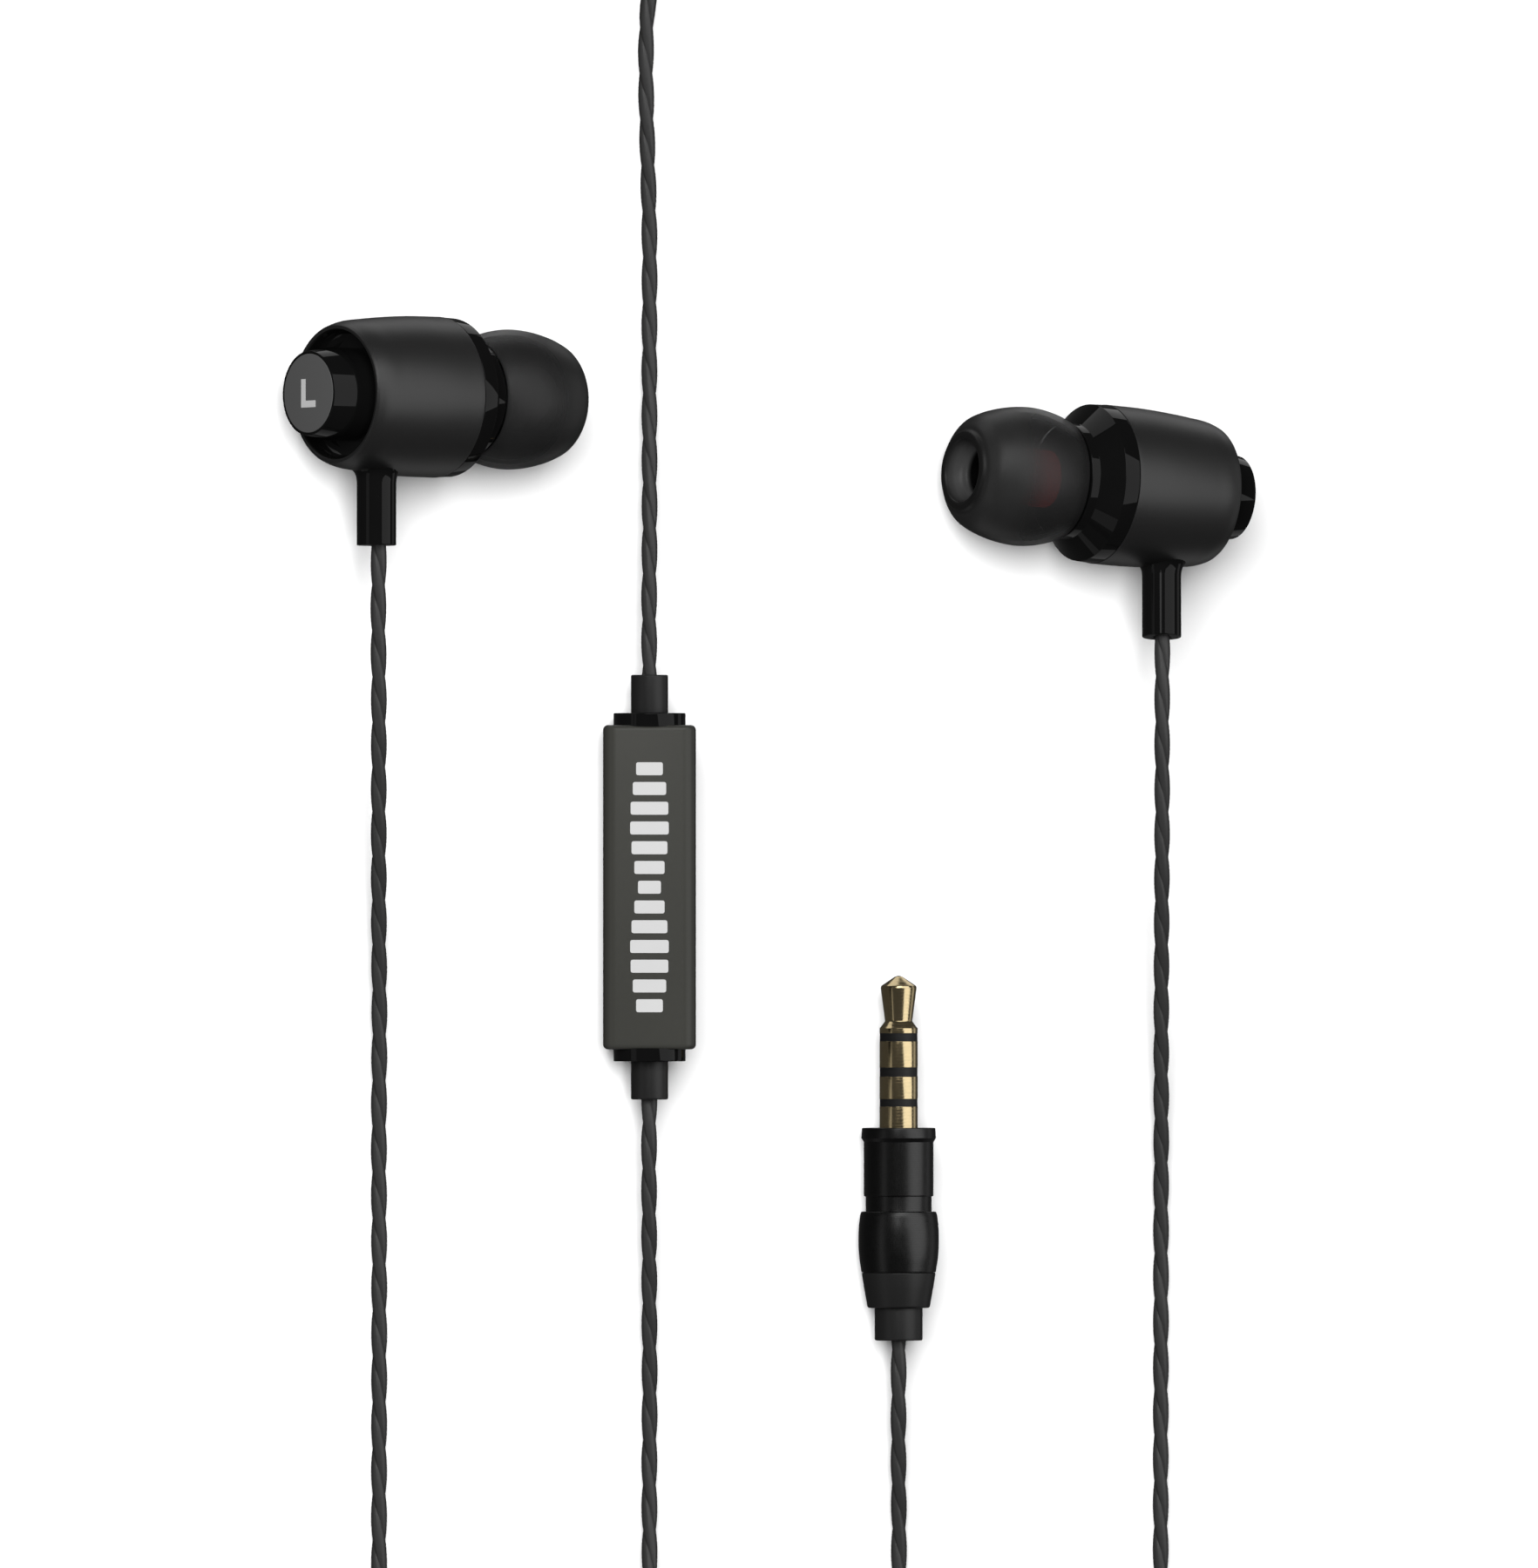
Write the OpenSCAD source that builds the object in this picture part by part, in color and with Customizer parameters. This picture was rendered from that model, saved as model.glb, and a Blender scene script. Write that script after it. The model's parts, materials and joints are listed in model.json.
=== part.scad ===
// Wired in-ear earphones with an in-line remote and a four-contact 3.5 mm plug, lying on a table.
// The table is z = 0. The origin is under the middle of the two earphones. Units are millimetres.
// An earphone is drawn about its own axis: u runs along it from the stem (0) towards the ear tip.

/* [Earphone housing] */
// Radius of the housing at its front
bud_r = 7.35; // [6.4:0.05:8.8]
// Radius of the housing just ahead of its rounded back rim
bud_rear_r = 6.65; // [6.3:0.05:8.0]
// Length of the housing
housing_l = 11.7; // [10.5:0.1:14]
// Distance from the stem's axis back to the housing's back plane
housing_back = 4.8; // [4.4:0.1:5.8]
// Wall of the housing
wall = 0.95; // [0.7:0.05:1.1]
// Radius of the back opening
lip_r = 5.95; // [5.2:0.05:6.0]

/* [Back cap] */
// Depth of the dish from the back plane to its floor
dish_depth = 1.9; // [1.2:0.1:2.1]
// Radius of the cap at its widest
cap_r = 4.25; // [3.4:0.05:4.6]
// Radius of the cap's face
cap_face_r = 3.85; // [3:0.05:4.2]
// How far the cap's face stands behind the back plane
cap_out = 3.07; // [1.5:0.01:4]
// Thickness of the disc let into the cap's face
disc_t = 0.35; // [0.2:0.05:0.8]

/* [Nozzle cover] */
// Length of the gloss ring
ring_l = 1.5; // [0.8:0.1:2.5]
// Length of the cone
cone_l = 1.6; // [1:0.1:3]
// Radius of the neck behind the ear tip
neck_r = 5.3; // [4.4:0.05:5.6]
// Length of the neck
neck_l = 0.85; // [0.6:0.05:2]
// Outside radius of the nozzle
nozzle_r = 2.65; // [2.3:0.05:3.1]
// Length of the nozzle ahead of the neck
nozzle_l = 6.65; // [5.4:0.05:8]
// Radius of the sound bore
sound_r = 1.75; // [1.2:0.05:1.8]

/* [Ear tip] */
// Largest radius of the ear tip
tip_r = 6.4; // [5.4:0.1:7.7]
// Length of the ear tip
tip_l = 10.75; // [9.7:0.05:13]
// Radius of the ear tip's mouth
mouth_r = 3.0; // [2.5:0.05:3.6]

/* [Stem] */
// Radius of the stem
stem_r = 1.8; // [1.6:0.05:2.15]
// Distance from the earphone's axis to the stem's end
stem_end = 13.7; // [11.5:0.1:17]

/* [Remote] */
// Width of the remote
remote_w = 8.5; // [7.2:0.1:10.2]
// Length of the remote's body
remote_l = 29.7; // [25:0.1:36]
// Height of the flat face above the remote's axis
remote_face = 3.1; // [2.7:0.1:3.8]
// Radius of the edges beside the flat face
remote_edge_r = 1.25; // [0.9:0.05:1.3]
// Wall of the remote's body
remote_wall = 0.8; // [0.6:0.05:0.9]
// Radius of the round collars at the ends
collar_r = 3.3; // [2.4:0.05:3.4]
// Length of the collars
collar_l = 1.1; // [0.6:0.05:2]
// Radius of the strain-relief sleeves
relief_r = 1.7; // [1.3:0.05:2]
// Length of the strain-relief sleeves
relief_l = 3.5; // [2:0.1:6]
// Width of the call button
button_w = 2.3; // [1.8:0.1:2.5]
// Length of the call button
button_l = 7.2; // [5:0.1:10]
// How far the call button travels
button_travel = 0.25; // [0.15:0.05:0.3]

/* [Plug] */
// Radius of the contact pin
pin_r = 1.75; // [1.75:0.01:1.75]
// Length of the pin ahead of the grip
pin_l = 14; // [14:0.1:14]
// Radius of the grip's front flange
flange_r = 3.43; // [3.1:0.05:3.7]
// Radius of the grip's waist
waist_r = 3.2; // [2.9:0.05:3.6]
// Largest radius of the grip
belly_r = 3.7; // [3.3:0.05:3.7]
// Length of the grip's front shell
collar_shell_l = 6.3; // [5:0.1:9]
// Length of the grip's rear shell
barrel_l = 7.0; // [5.6:0.1:9]
// Length of the rubber boot
boot_l = 3.25; // [2:0.05:6]
// Length of the plug's strain-relief sleeve
plug_relief_l = 3.0; // [2:0.1:6]

/* [Cord] */
// Diameter of the twisted cord
cord_d = 1.4; // [1.2:0.05:1.4]

/* [Hidden] */
$fn = 72;
gap = 0.03;          // fitted parts
slide_gap = 0.1;     // parts that move past each other
eps = 0.01;

// Places along an earphone's axis
u_rear = -housing_back;
u_front = u_rear + housing_l;
u_ring = u_front + ring_l;
u_cone = u_ring + cone_l;
u_neck = u_cone + neck_l;
u_nozzle = u_neck + nozzle_l;
u_floor = u_rear + dish_depth;
tip_gap = 0.2;
u_tip = u_neck + tip_gap;

// The housing's outside at two places along its flank, and its inside, which narrows behind the stem
// only where the flank does
flank_rear_r = bud_rear_r + (bud_r - bud_rear_r) * 0.43;
flank_mid_r = bud_rear_r + (bud_r - bud_rear_r) * 0.64;
flank_rear_u = u_rear + 3;
flank_mid_u = u_rear + 4.5;
flank_front_u = u_front - 3.7;
rear_wall = 0.55;
housing_in_r = bud_r - wall;
rear_in_r = min(housing_in_r, flank_rear_r - rear_wall);
mid_in_r = min(housing_in_r, flank_mid_r - rear_wall);
lip_t = 0.3;
dish_r = lip_r + 0.25;
dish_floor_t = 0.6;
dish_seat_l = dish_depth + dish_floor_t + 0.4;

// The cap and its spigot
cap_spigot_r = 1.6;
cap_spigot_l = 1.2;
disc_r = cap_face_r - 0.25;

// The nozzle cover's inside, where the driver sits
spigot_r = housing_in_r - gap;
spigot_l = 2.0;
cover_wall = 0.78;
pocket_r = spigot_r - cover_wall;
mesh_r = sound_r + 0.35;
mesh_t = 0.2;
mesh_seat = 0.35;
ring_from = 1.65;    // the channel ring, ahead of the neck
ring_w = 3.6;
ring_t = 0.2;

// The driver, placed from the housing's front
frame_r = pocket_r - gap;
frame_back = u_front - 1.6;
frame_front = u_ring - 0.05;
frame_t = 0.55;
shelf_u = u_front + 0.4;
yoke_r = 3.9;
yoke_back = u_front - 2.7;
yoke_front = u_front - 0.8;
yoke_t = 0.6;
yoke_in_r = 3.55;
magnet_r = 2.75;
magnet_front = u_front - 0.9;
film_t = 0.12;
film_u = shelf_u + 0.42;
film_r = frame_r - frame_t - 0.05;
coil_in_r = 3.05;
coil_out_r = 3.3;
coil_l = 1.9;
board_r = 2.6;
board_t = 0.6;

// The stem inside the housing
stem_flange_r = stem_r + 0.4;
stem_flange_t = 0.6;
seat_end = u_rear + dish_seat_l;
flange_past_seat = sqrt(max(0, pow(stem_flange_r, 2) - pow(seat_end, 2)));
stem_flange_at = min(sqrt(pow(rear_in_r, 2) - pow(stem_flange_r, 2)),
    sqrt(pow(dish_r, 2) - pow(flange_past_seat, 2))) - 0.2;
cord_r = cord_d / 2;
cord_hole_r = 0.75;

// Earphones as they lie: where the stem's axis crosses the earphone's axis, and the turn
left_at = [-43.95, 7.5, 7.75];
left_turn = [-1.5, 3.3, -1.2];
right_at = [43.85, -0.9, 7.75];
right_turn = [187.3, 3.4, 175.3];

// Remote: the middle of its axis, rolled on its round back
remote_at = [-11.2, -37.4, remote_w / 2];
remote_roll = -35;
cap_depth = 2.0;
remote_in_r = remote_w / 2 - remote_wall;
relief_neck_r = 1.2;
relief_foot_r = 1.9;
relief_foot_t = 0.6;
board_y = remote_l / 2 - cap_depth - relief_foot_t - gap;
board_top = 1.0;
pcb_t = 0.6;
button_proud = 0.2;
button_foot = 0.5;
button_foot_t = 0.6;
button_foot_at = -remote_in_r + 0.5;
switch_l = 4;
switch_w = 3;
switch_body = 2.0;
mic_y = -9;
mic_hole_r = 0.35;

// Plug: its tip, and distances back from it
plug_at = [17.1, -45.55, belly_r];
core_r = 0.5;
sheath_r = 1.2;
tip_back = 5.3;
band_1 = 6.05;
ring_1_back = 8.45;
band_2 = 9.3;
ring_2_back = 11.35;
band_3 = 12.05;
pin_neck_r = pin_r - 0.3;    // the pin inside the grip
foot_t = 1.0;
foot_r = 2.4;
core_l = pin_l + 2.2;
shell_end = pin_l + collar_shell_l;
barrel_end = shell_end + barrel_l;
boot_end = barrel_end + boot_l;
plug_end = boot_end + plug_relief_l;
groove_l = 1.4;
groove_r = waist_r - 0.17;
plug_relief_r = 2.2;

// Splitter
splitter_at = [-9.6, -104, 2];
splitter_l = 10;
splitter_w = 6.4;
branch_x = 1.2;
splitter_relief_r = 1.3;
splitter_relief_l = 2.5;

// Coils: centre, mean radius, and how many turns lie round the bundle
tie_t = 0.2;
left_coil_at = [-30, -113];
left_coil_r = 8.1;
right_coil_at = [56.5, -115.4];
right_coil_r = 7.0;
plug_coil_at = [28.6, -112.5];
plug_coil_r = 7.7;
branch_lay = 5;
plug_lay = 7;
function lay_r(n) = cord_d / (2 * sin(180 / n));
function coil_z(n) = lay_r(n) + cord_r + tie_t;

// Routes of the stretches that are not coiled, as centre points
left_route = [
    [-43.9, -4.3, 8.05], [-43.95, -6.3, 8.1], [-44, -12, 8.1], [-43.6, -20, 7.6], [-42.3, -30, 5.7],
    [-40.7, -40, 3.4], [-39.4, -50, 1.6], [-38.9, -59, 0.8], [-38.8, -74, 0.7],
    [-38.8, -102, 0.7], [-38.8, -108, 0.8], [-38.8, -113, 1.1]];
left_tail = [
    [-30, -122.3, 2.1], [-26, -122.3, 1.5], [-21, -122.3, 0.8], [-17, -122.1, 0.7], [-13.6, -120.7, 0.8],
    [-11.4, -118, 1.4], [-10.8, -115.2, 1.9], [-10.8, -113, 2]];
right_route = [
    [42.9, -12.6, 9.2], [42.7, -14.6, 9.5], [42.4, -21, 9.9], [42.9, -30, 9.2], [44.2, -40, 7.3],
    [46, -50, 4.7], [47.7, -60, 2.3], [48.6, -69, 1], [48.8, -77, 0.7],
    [48.8, -106, 0.7], [48.8, -111, 0.8], [48.8, -115.4, 1.1]];
right_tail = [
    [48.4, -115.4, 2.5], [48.3, -118.2, 1.9], [47.2, -121.5, 1.1], [44.6, -123.6, 0.8], [41, -124.3, 0.7],
    [0, -124.3, 0.7], [-4, -123.6, 0.7], [-7, -121.4, 0.9], [-8.3, -118.2, 1.4],
    [-8.4, -115.2, 1.9], [-8.4, -113, 2]];
remote_route = [
    [-11.2, -54.7, 4.25], [-11.2, -56.8, 4.25], [-11.2, -61, 4.2], [-10.7, -68, 3.5], [-9.7, -76, 2.1],
    [-8.9, -84, 1], [-8.8, -91, 0.8], [-9.2, -97, 1.4], [-9.6, -101.4, 2], [-9.6, -103.4, 2]];
main_route = [
    [-11.2, -20, 4.25], [-11.2, -18, 4.25], [-11.2, -13, 4.2], [-10.8, -6, 3.7], [-9.9, 3, 2.4],
    [-9, 12, 1.1], [-8.7, 20, 0.7], [-8.7, 44.4, 0.7], [-7.6, 48.1, 0.7],
    [-4.4, 50.1, 0.7], [0, 50.5, 0.7], [88, 50.5, 0.7], [92.6, 49.2, 0.7],
    [95, 45.6, 0.7], [95.2, 41, 0.7], [95.2, -94, 0.7], [94.2, -98.8, 0.7],
    [91.4, -102.2, 0.7], [87, -103.6, 0.7], [64, -103.6, 0.7], [56, -103.6, 1.4], [48.8, -103.6, 2.3],
    [44.4, -104.2, 2], [40.6, -106.2, 1.5], [38.4, -109.2, 1.4], [37.8, -112.5, 1.5]];
plug_route = [
    [19, -112.5, 2.1], [19.1, -107, 1.4], [19.2, -101, 0.8], [18.9, -96, 1.2], [18, -90, 2.4],
    [17.3, -84.5, 3.4], [17.1, -79.2, 3.7], [17.1, -77, 3.7]];

// ---- Earphone pieces, drawn about their own axis ----

module along_u() { rotate([0, 90, 0]) rotate_extrude() children(); }

// A plain ring: inside radius, outside radius, and its two ends along the axis
module ring(r_in, r_out, from, to) {
    translate([r_in, from]) square([r_out - r_in, to - from]);
}

// Something round that points down the stem, from one distance to another
module down_stem(r, from, to) {
    rotate([90, 0, 0]) translate([0, 0, from]) cylinder(r = r, h = to - from);
}

module housing() {
    difference() {
        along_u() polygon([
            [lip_r, u_rear], [lip_r + 0.35, u_rear], [bud_rear_r - 0.1, u_rear + 0.25],
            [bud_rear_r, u_rear + 0.8], [flank_rear_r, flank_rear_u], [flank_mid_r, flank_mid_u],
            [bud_r - 0.03, flank_front_u], [bud_r, u_front],
            [housing_in_r, u_front], [housing_in_r, flank_front_u], [mid_in_r, flank_mid_u],
            [rear_in_r, u_rear + dish_seat_l], [dish_r, u_rear + dish_seat_l], [dish_r, u_rear + lip_t],
            [lip_r, u_rear + lip_t]]);
        down_stem(stem_r + gap / 2, rear_in_r - 2, bud_r + 1);
    }
}

module recess_cup() {
    fillet = dish_r - cap_r - 1;
    along_u() difference() {
        ring(cap_spigot_r, dish_r - gap, u_rear + lip_t, u_floor + dish_floor_t);
        translate([lip_r - 0.05 - fillet, u_rear + lip_t]) circle(r = fillet);
        ring(0, lip_r - 0.05 - fillet, u_rear, u_floor);
        ring(0, lip_r - 0.05, u_rear, u_rear + lip_t + eps);
    }
}

module cap() {
    shoulder = 0.6;
    along_u() difference() {
        union() {
            polygon([[0, u_rear - cap_out], [cap_face_r, u_rear - cap_out], [cap_r, u_rear - shoulder],
                [cap_r, u_floor], [0, u_floor]]);
            ring(0, cap_spigot_r - gap, u_floor - eps, u_floor + cap_spigot_l);
        }
        ring(0, disc_r + gap, u_rear - cap_out - 1, u_rear - cap_out + disc_t);
    }
}

module cap_disc() {
    along_u() ring(0, disc_r, u_rear - cap_out, u_rear - cap_out + disc_t);
}

module nozzle_cover() {
    along_u() difference() {
        union() {
            ring(0, spigot_r, u_front - spigot_l, u_front + eps);
            polygon([[0, u_front], [bud_r - 0.02, u_front], [bud_r - 0.1, u_ring], [neck_r, u_cone],
                [neck_r, u_neck], [0, u_neck]]);
            ring(0, nozzle_r, u_neck - eps, u_nozzle);
        }
        ring(0, pocket_r, u_front - spigot_l - 1, u_ring);
        polygon([[0, u_ring - eps], [pocket_r, u_ring - eps], [sound_r, u_cone + 0.2], [0, u_cone + 0.2]]);
        ring(0, sound_r, u_cone, u_nozzle + 1);
        ring(0, mesh_r, u_nozzle - mesh_seat, u_nozzle + 1);
        ring(nozzle_r - ring_t, nozzle_r + 1, u_neck + ring_from, u_neck + ring_from + ring_w);
    }
}

module nozzle_ring() {
    along_u() ring(nozzle_r - ring_t, nozzle_r, u_neck + ring_from, u_neck + ring_from + ring_w);
}

module nozzle_mesh() {
    along_u() ring(0, mesh_r - gap, u_nozzle - mesh_seat, u_nozzle - mesh_seat + mesh_t);
}

// The ear tip's outline, from the mouth over the dome and back along the inside of its skirt.
// Each point is a share of the radius and of the length.
module ear_tip() {
    dome = [[0.61, 0.993], [0.7, 0.96], [0.785, 0.9], [0.875, 0.78], [0.95, 0.63], [0.992, 0.48],
        [1, 0.37], [0.97, 0.22], [0.91, 0.09], [0.855, 0.02], [0.82, 0]];
    inside = [[0.785, 0.02], [0.84, 0.1], [0.9, 0.23], [0.925, 0.37], [0.915, 0.48], [0.875, 0.62],
        [0.8, 0.75], [0.7, 0.84], [0.62, 0.87]];
    sleeve_r = nozzle_r + slide_gap / 4;
    sleeve_t = 0.5;
    back = u_neck + 0.9;
    along_u() polygon(concat(
        [[mouth_r, u_tip + tip_l]],
        [for (p = dome) [p[0] * tip_r, u_tip + p[1] * tip_l]],
        [for (p = inside) [p[0] * tip_r, u_tip + p[1] * tip_l]],
        [[sleeve_r + sleeve_t, u_tip + 0.83 * tip_l], [sleeve_r + sleeve_t, back], [sleeve_r, back],
        [sleeve_r, u_nozzle + slide_gap], [sound_r + 0.1, u_nozzle + slide_gap],
        [sound_r + 0.1, u_nozzle + 2.2], [sound_r + 0.4, u_nozzle + 3],
        [mouth_r - 0.35, u_tip + tip_l - 0.55], [mouth_r - 0.08, u_tip + tip_l - 0.15]]));
}

module stem() {
    difference() {
        union() {
            down_stem(stem_r, stem_flange_at - eps, stem_end);
            down_stem(stem_flange_r, stem_flange_at - stem_flange_t, stem_flange_at);
        }
        down_stem(cord_hole_r, stem_flange_at - 2, stem_end + 1);
        // a wide flange is cut flat where it would meet the dish
        translate([u_floor + dish_floor_t + gap - stem_end, -stem_end, -stem_end])
            cube([stem_end, 2 * stem_end, 2 * stem_end]);
    }
}

module driver_frame() {
    along_u() polygon([[yoke_r + gap, frame_back], [frame_r, frame_back], [frame_r, frame_front],
        [frame_r - frame_t, frame_front], [frame_r - frame_t, shelf_u], [frame_r - frame_t - 0.3, shelf_u],
        [frame_r - frame_t - 0.3, yoke_front], [yoke_r + gap, yoke_front]]);
}

module driver_yoke() {
    along_u() difference() {
        ring(0, yoke_r, yoke_back, yoke_front);
        ring(0, yoke_in_r, yoke_back + yoke_t, yoke_front + 1);
    }
}

module driver_magnet() {
    along_u() ring(0, magnet_r, yoke_back + yoke_t, magnet_front);
}

module voice_coil() {
    along_u() ring(coil_in_r, coil_out_r, film_u - film_t - coil_l, film_u - film_t);
}

// A domed middle, a flat ring over the voice coil, and a half-round surround
module diaphragm() {
    flat_in = coil_in_r - 0.05;
    flat_out = coil_out_r + 0.1;
    dome_h = 0.75;
    roll_r = (film_r - 0.15 - flat_out) / 2;
    top = concat(
        [for (a = [0:10:90]) [flat_in * sin(a), film_u + dome_h * cos(a)]],
        [for (a = [180:-20:0]) [flat_out + roll_r + roll_r * cos(a), film_u + 0.5 * roll_r * sin(a)]],
        [[film_r, film_u]]);
    under = [for (i = [len(top) - 1:-1:0]) [top[i][0], top[i][1] - film_t]];
    along_u() polygon(concat(top, under));
}

module driver_board() {
    pad_r = 0.4;
    pad_t = 0.25;
    along_u() ring(0, board_r, yoke_back - board_t, yoke_back);
    for (side = [-1, 1])
        rotate([0, 90, 0]) translate([0, side * 1.3, yoke_back - board_t - pad_t])
            cylinder(r = pad_r, h = pad_t + eps);
}

// ---- Remote pieces: length along Y, flat face up, then rolled ----

module rolled() { translate(remote_at) rotate([0, remote_roll, 0]) children(); }

// Runs along the remote, from one place to another
module along_y(from, to) {
    translate([0, to, 0]) rotate([90, 0, 0]) linear_extrude(height = to - from) children();
}

// The section: a round back, straight sides, and a flat face between rounded edges
module remote_section(inset) {
    half = remote_w / 2 - inset;
    face = remote_face - inset;
    edge = max(remote_edge_r - inset, 0.3);
    circle(r = half);
    translate([-half, 0]) square([2 * half, face - edge]);
    translate([-half + edge, 0]) square([2 * (half - edge), face]);
    for (side = [-1, 1]) translate([side * (half - edge), face - edge]) circle(r = edge);
}

// A slot with round ends, its length along Y
module slot_2d(w, l) {
    square([w, l - w], center = true);
    for (side = [-1, 1]) translate([0, side * (l - w) / 2]) circle(d = w);
}

module remote_body() {
    rolled() difference() {
        along_y(-remote_l / 2, remote_l / 2) remote_section(0);
        along_y(-remote_l / 2 - 1, remote_l / 2 + 1) remote_section(remote_wall);
        translate([0, 0, -remote_w]) linear_extrude(height = remote_w)
            slot_2d(button_w + 2 * slide_gap, button_l + 2 * slide_gap);
        translate([0, mic_y, -remote_w]) cylinder(r = mic_hole_r, h = remote_w);
    }
}

// end is 1 for the top and -1 for the bottom
module remote_cap(end) {
    rolled() mirror([0, end < 0 ? 1 : 0, 0]) difference() {
        union() {
            along_y(remote_l / 2 - cap_depth, remote_l / 2) remote_section(remote_wall + gap);
            along_y(remote_l / 2 - eps, remote_l / 2 + collar_l) circle(r = collar_r);
        }
        along_y(0, remote_l) circle(r = relief_neck_r + gap);
    }
}

module remote_relief(end) {
    rolled() mirror([0, end < 0 ? 1 : 0, 0]) difference() {
        union() {
            along_y(remote_l / 2 + collar_l, remote_l / 2 + collar_l + relief_l) circle(r = relief_r);
            along_y(remote_l / 2 - cap_depth - eps, remote_l / 2 + collar_l + eps) circle(r = relief_neck_r);
            along_y(remote_l / 2 - cap_depth - relief_foot_t, remote_l / 2 - cap_depth)
                circle(r = relief_foot_r);
        }
        along_y(0, remote_l) circle(r = cord_hole_r);
    }
}

module remote_button() {
    rolled() {
        intersection() {
            translate([0, 0, -remote_w]) linear_extrude(height = remote_w + button_foot_at)
                slot_2d(button_w, button_l);
            along_y(-button_l, button_l) circle(r = remote_w / 2 + button_proud);
        }
        translate([0, 0, button_foot_at - eps]) linear_extrude(height = button_foot_t)
            slot_2d(button_w + 2 * button_foot, button_l + 2 * button_foot);
    }
}

module remote_board() {
    pcb_w = 4.6;
    rolled() translate([-pcb_w / 2, -board_y, board_top - pcb_t]) cube([pcb_w, 2 * board_y, pcb_t]);
}

module remote_switch() {
    under = board_top - pcb_t;
    plunger_end = button_foot_at + button_foot_t + button_travel + 0.05;
    rolled() {
        translate([-switch_w / 2, -switch_l / 2, under - switch_body])
            cube([switch_w, switch_l, switch_body]);
        translate([0, 0, plunger_end]) cylinder(r = 0.8, h = under - switch_body - plunger_end + eps);
    }
}

module remote_microphone() {
    mic_size = [2.4, 1.9, 1.1];
    rolled() translate([-mic_size[0] / 2, mic_y - mic_size[1] / 2, board_top - pcb_t - mic_size[2]])
        cube(mic_size);
}

// ---- Plug pieces, drawn from the tip backwards ----

module along_plug() { translate(plug_at) rotate([90, 0, 0]) rotate_extrude() children(); }

module plug_tip() {
    along_plug() {
        polygon([[0, 0], [0.5, 0.06], [1.2, 0.5], [1.6, 0.95], [1.65, 1.15], [1.5, 2], [1.25, 4.2],
            [pin_r - 0.1, 4.7], [pin_r, 4.85], [pin_r, tip_back], [0, tip_back]]);
        ring(0, core_r, tip_back - eps, core_l);
    }
}

module plug_insulator() {
    along_plug() {
        ring(core_r + gap, sheath_r, tip_back, core_l);
        for (band = [[tip_back, band_1], [ring_1_back, band_2], [ring_2_back, band_3]])
            ring(core_r + gap, pin_r, band[0], band[1]);
    }
}

module plug_ring_front() { along_plug() ring(sheath_r + gap, pin_r, band_1, ring_1_back); }

module plug_ring_rear() { along_plug() ring(sheath_r + gap, pin_r, band_2, ring_2_back); }

module plug_sleeve() {
    along_plug() {
        ring(sheath_r + gap, pin_r, band_3, pin_l);
        ring(sheath_r + gap, pin_neck_r, pin_l - eps, pin_l + foot_t);
        ring(sheath_r + gap, foot_r, pin_l + foot_t - eps, pin_l + 2 * foot_t);
    }
}

module plug_collar() {
    along_plug() difference() {
        polygon([[0, pin_l], [flange_r - 0.15, pin_l], [flange_r, pin_l + 0.15], [flange_r, pin_l + 0.9],
            [waist_r, pin_l + 1.3], [waist_r, shell_end], [0, shell_end]]);
        ring(0, pin_neck_r + gap, pin_l - 1, pin_l + foot_t + gap);
        ring(0, foot_r + gap, pin_l + foot_t - gap, shell_end + 1);
    }
}

module plug_barrel() {
    along_plug() difference() {
        polygon([[0, shell_end], [groove_r, shell_end], [groove_r, shell_end + groove_l],
            [belly_r - 0.25, shell_end + groove_l], [belly_r - 0.05, shell_end + groove_l + 1.2],
            [belly_r, shell_end + groove_l + 2.4], [belly_r - 0.1, barrel_end - 1.4],
            [belly_r - 0.3, barrel_end], [0, barrel_end]]);
        ring(0, foot_r + gap, shell_end - 1, barrel_end + 1);
    }
}

module plug_boot() {
    along_plug() difference() {
        union() {
            polygon([[0, barrel_end], [belly_r - 0.3, barrel_end], [belly_r - 0.5, barrel_end + 1.2],
                [belly_r - 0.85, boot_end], [0, boot_end]]);
            ring(0, foot_r, barrel_end - 3, barrel_end + eps);
        }
        ring(0, cord_hole_r + 0.6 + gap, barrel_end - 4, boot_end + 1);
    }
}

module plug_relief() {
    along_plug() difference() {
        union() {
            ring(0, plug_relief_r, boot_end, plug_end);
            ring(0, cord_hole_r + 0.6, barrel_end - 3, boot_end + eps);
        }
        ring(0, cord_hole_r, barrel_end - 4, plug_end + 1);
    }
}

// ---- Splitter ----

module splitter() {
    half = splitter_w / 2 - splitter_at[2];
    translate(splitter_at) difference() {
        along_y(-splitter_l, 0) {
            square([2 * half, 2 * splitter_at[2]], center = true);
            for (side = [-1, 1]) translate([side * half, 0]) circle(r = splitter_at[2]);
        }
        along_y(-3, 1) circle(r = splitter_relief_r - 0.3);
        for (side = [-1, 1]) translate([side * branch_x, 0]) along_y(-splitter_l - 1, -splitter_l + 2)
            circle(r = cord_hole_r);
    }
}

module splitter_relief() {
    translate(splitter_at) difference() {
        union() {
            along_y(0, splitter_relief_l) circle(r = splitter_relief_r);
            along_y(-3, eps) circle(r = splitter_relief_r - 0.3 - gap);
        }
        along_y(-4, splitter_relief_l + 1) circle(r = cord_hole_r);
    }
}

// ---- Cord ----

function unit(v) = v / norm(v);

// The direction of a route at one of its points
function heading(route, i) =
    unit(route[min(i + 1, len(route) - 1)] - route[max(i - 1, 0)]);

// One round section of the tube, square to the route
function section(at, ahead, sides) =
    let (across = unit(cross(ahead, [0, 0, 1])), up = cross(across, ahead))
    [for (k = [0:sides - 1]) at + cord_r * (cos(360 * k / sides) * across + sin(360 * k / sides) * up)];

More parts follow.
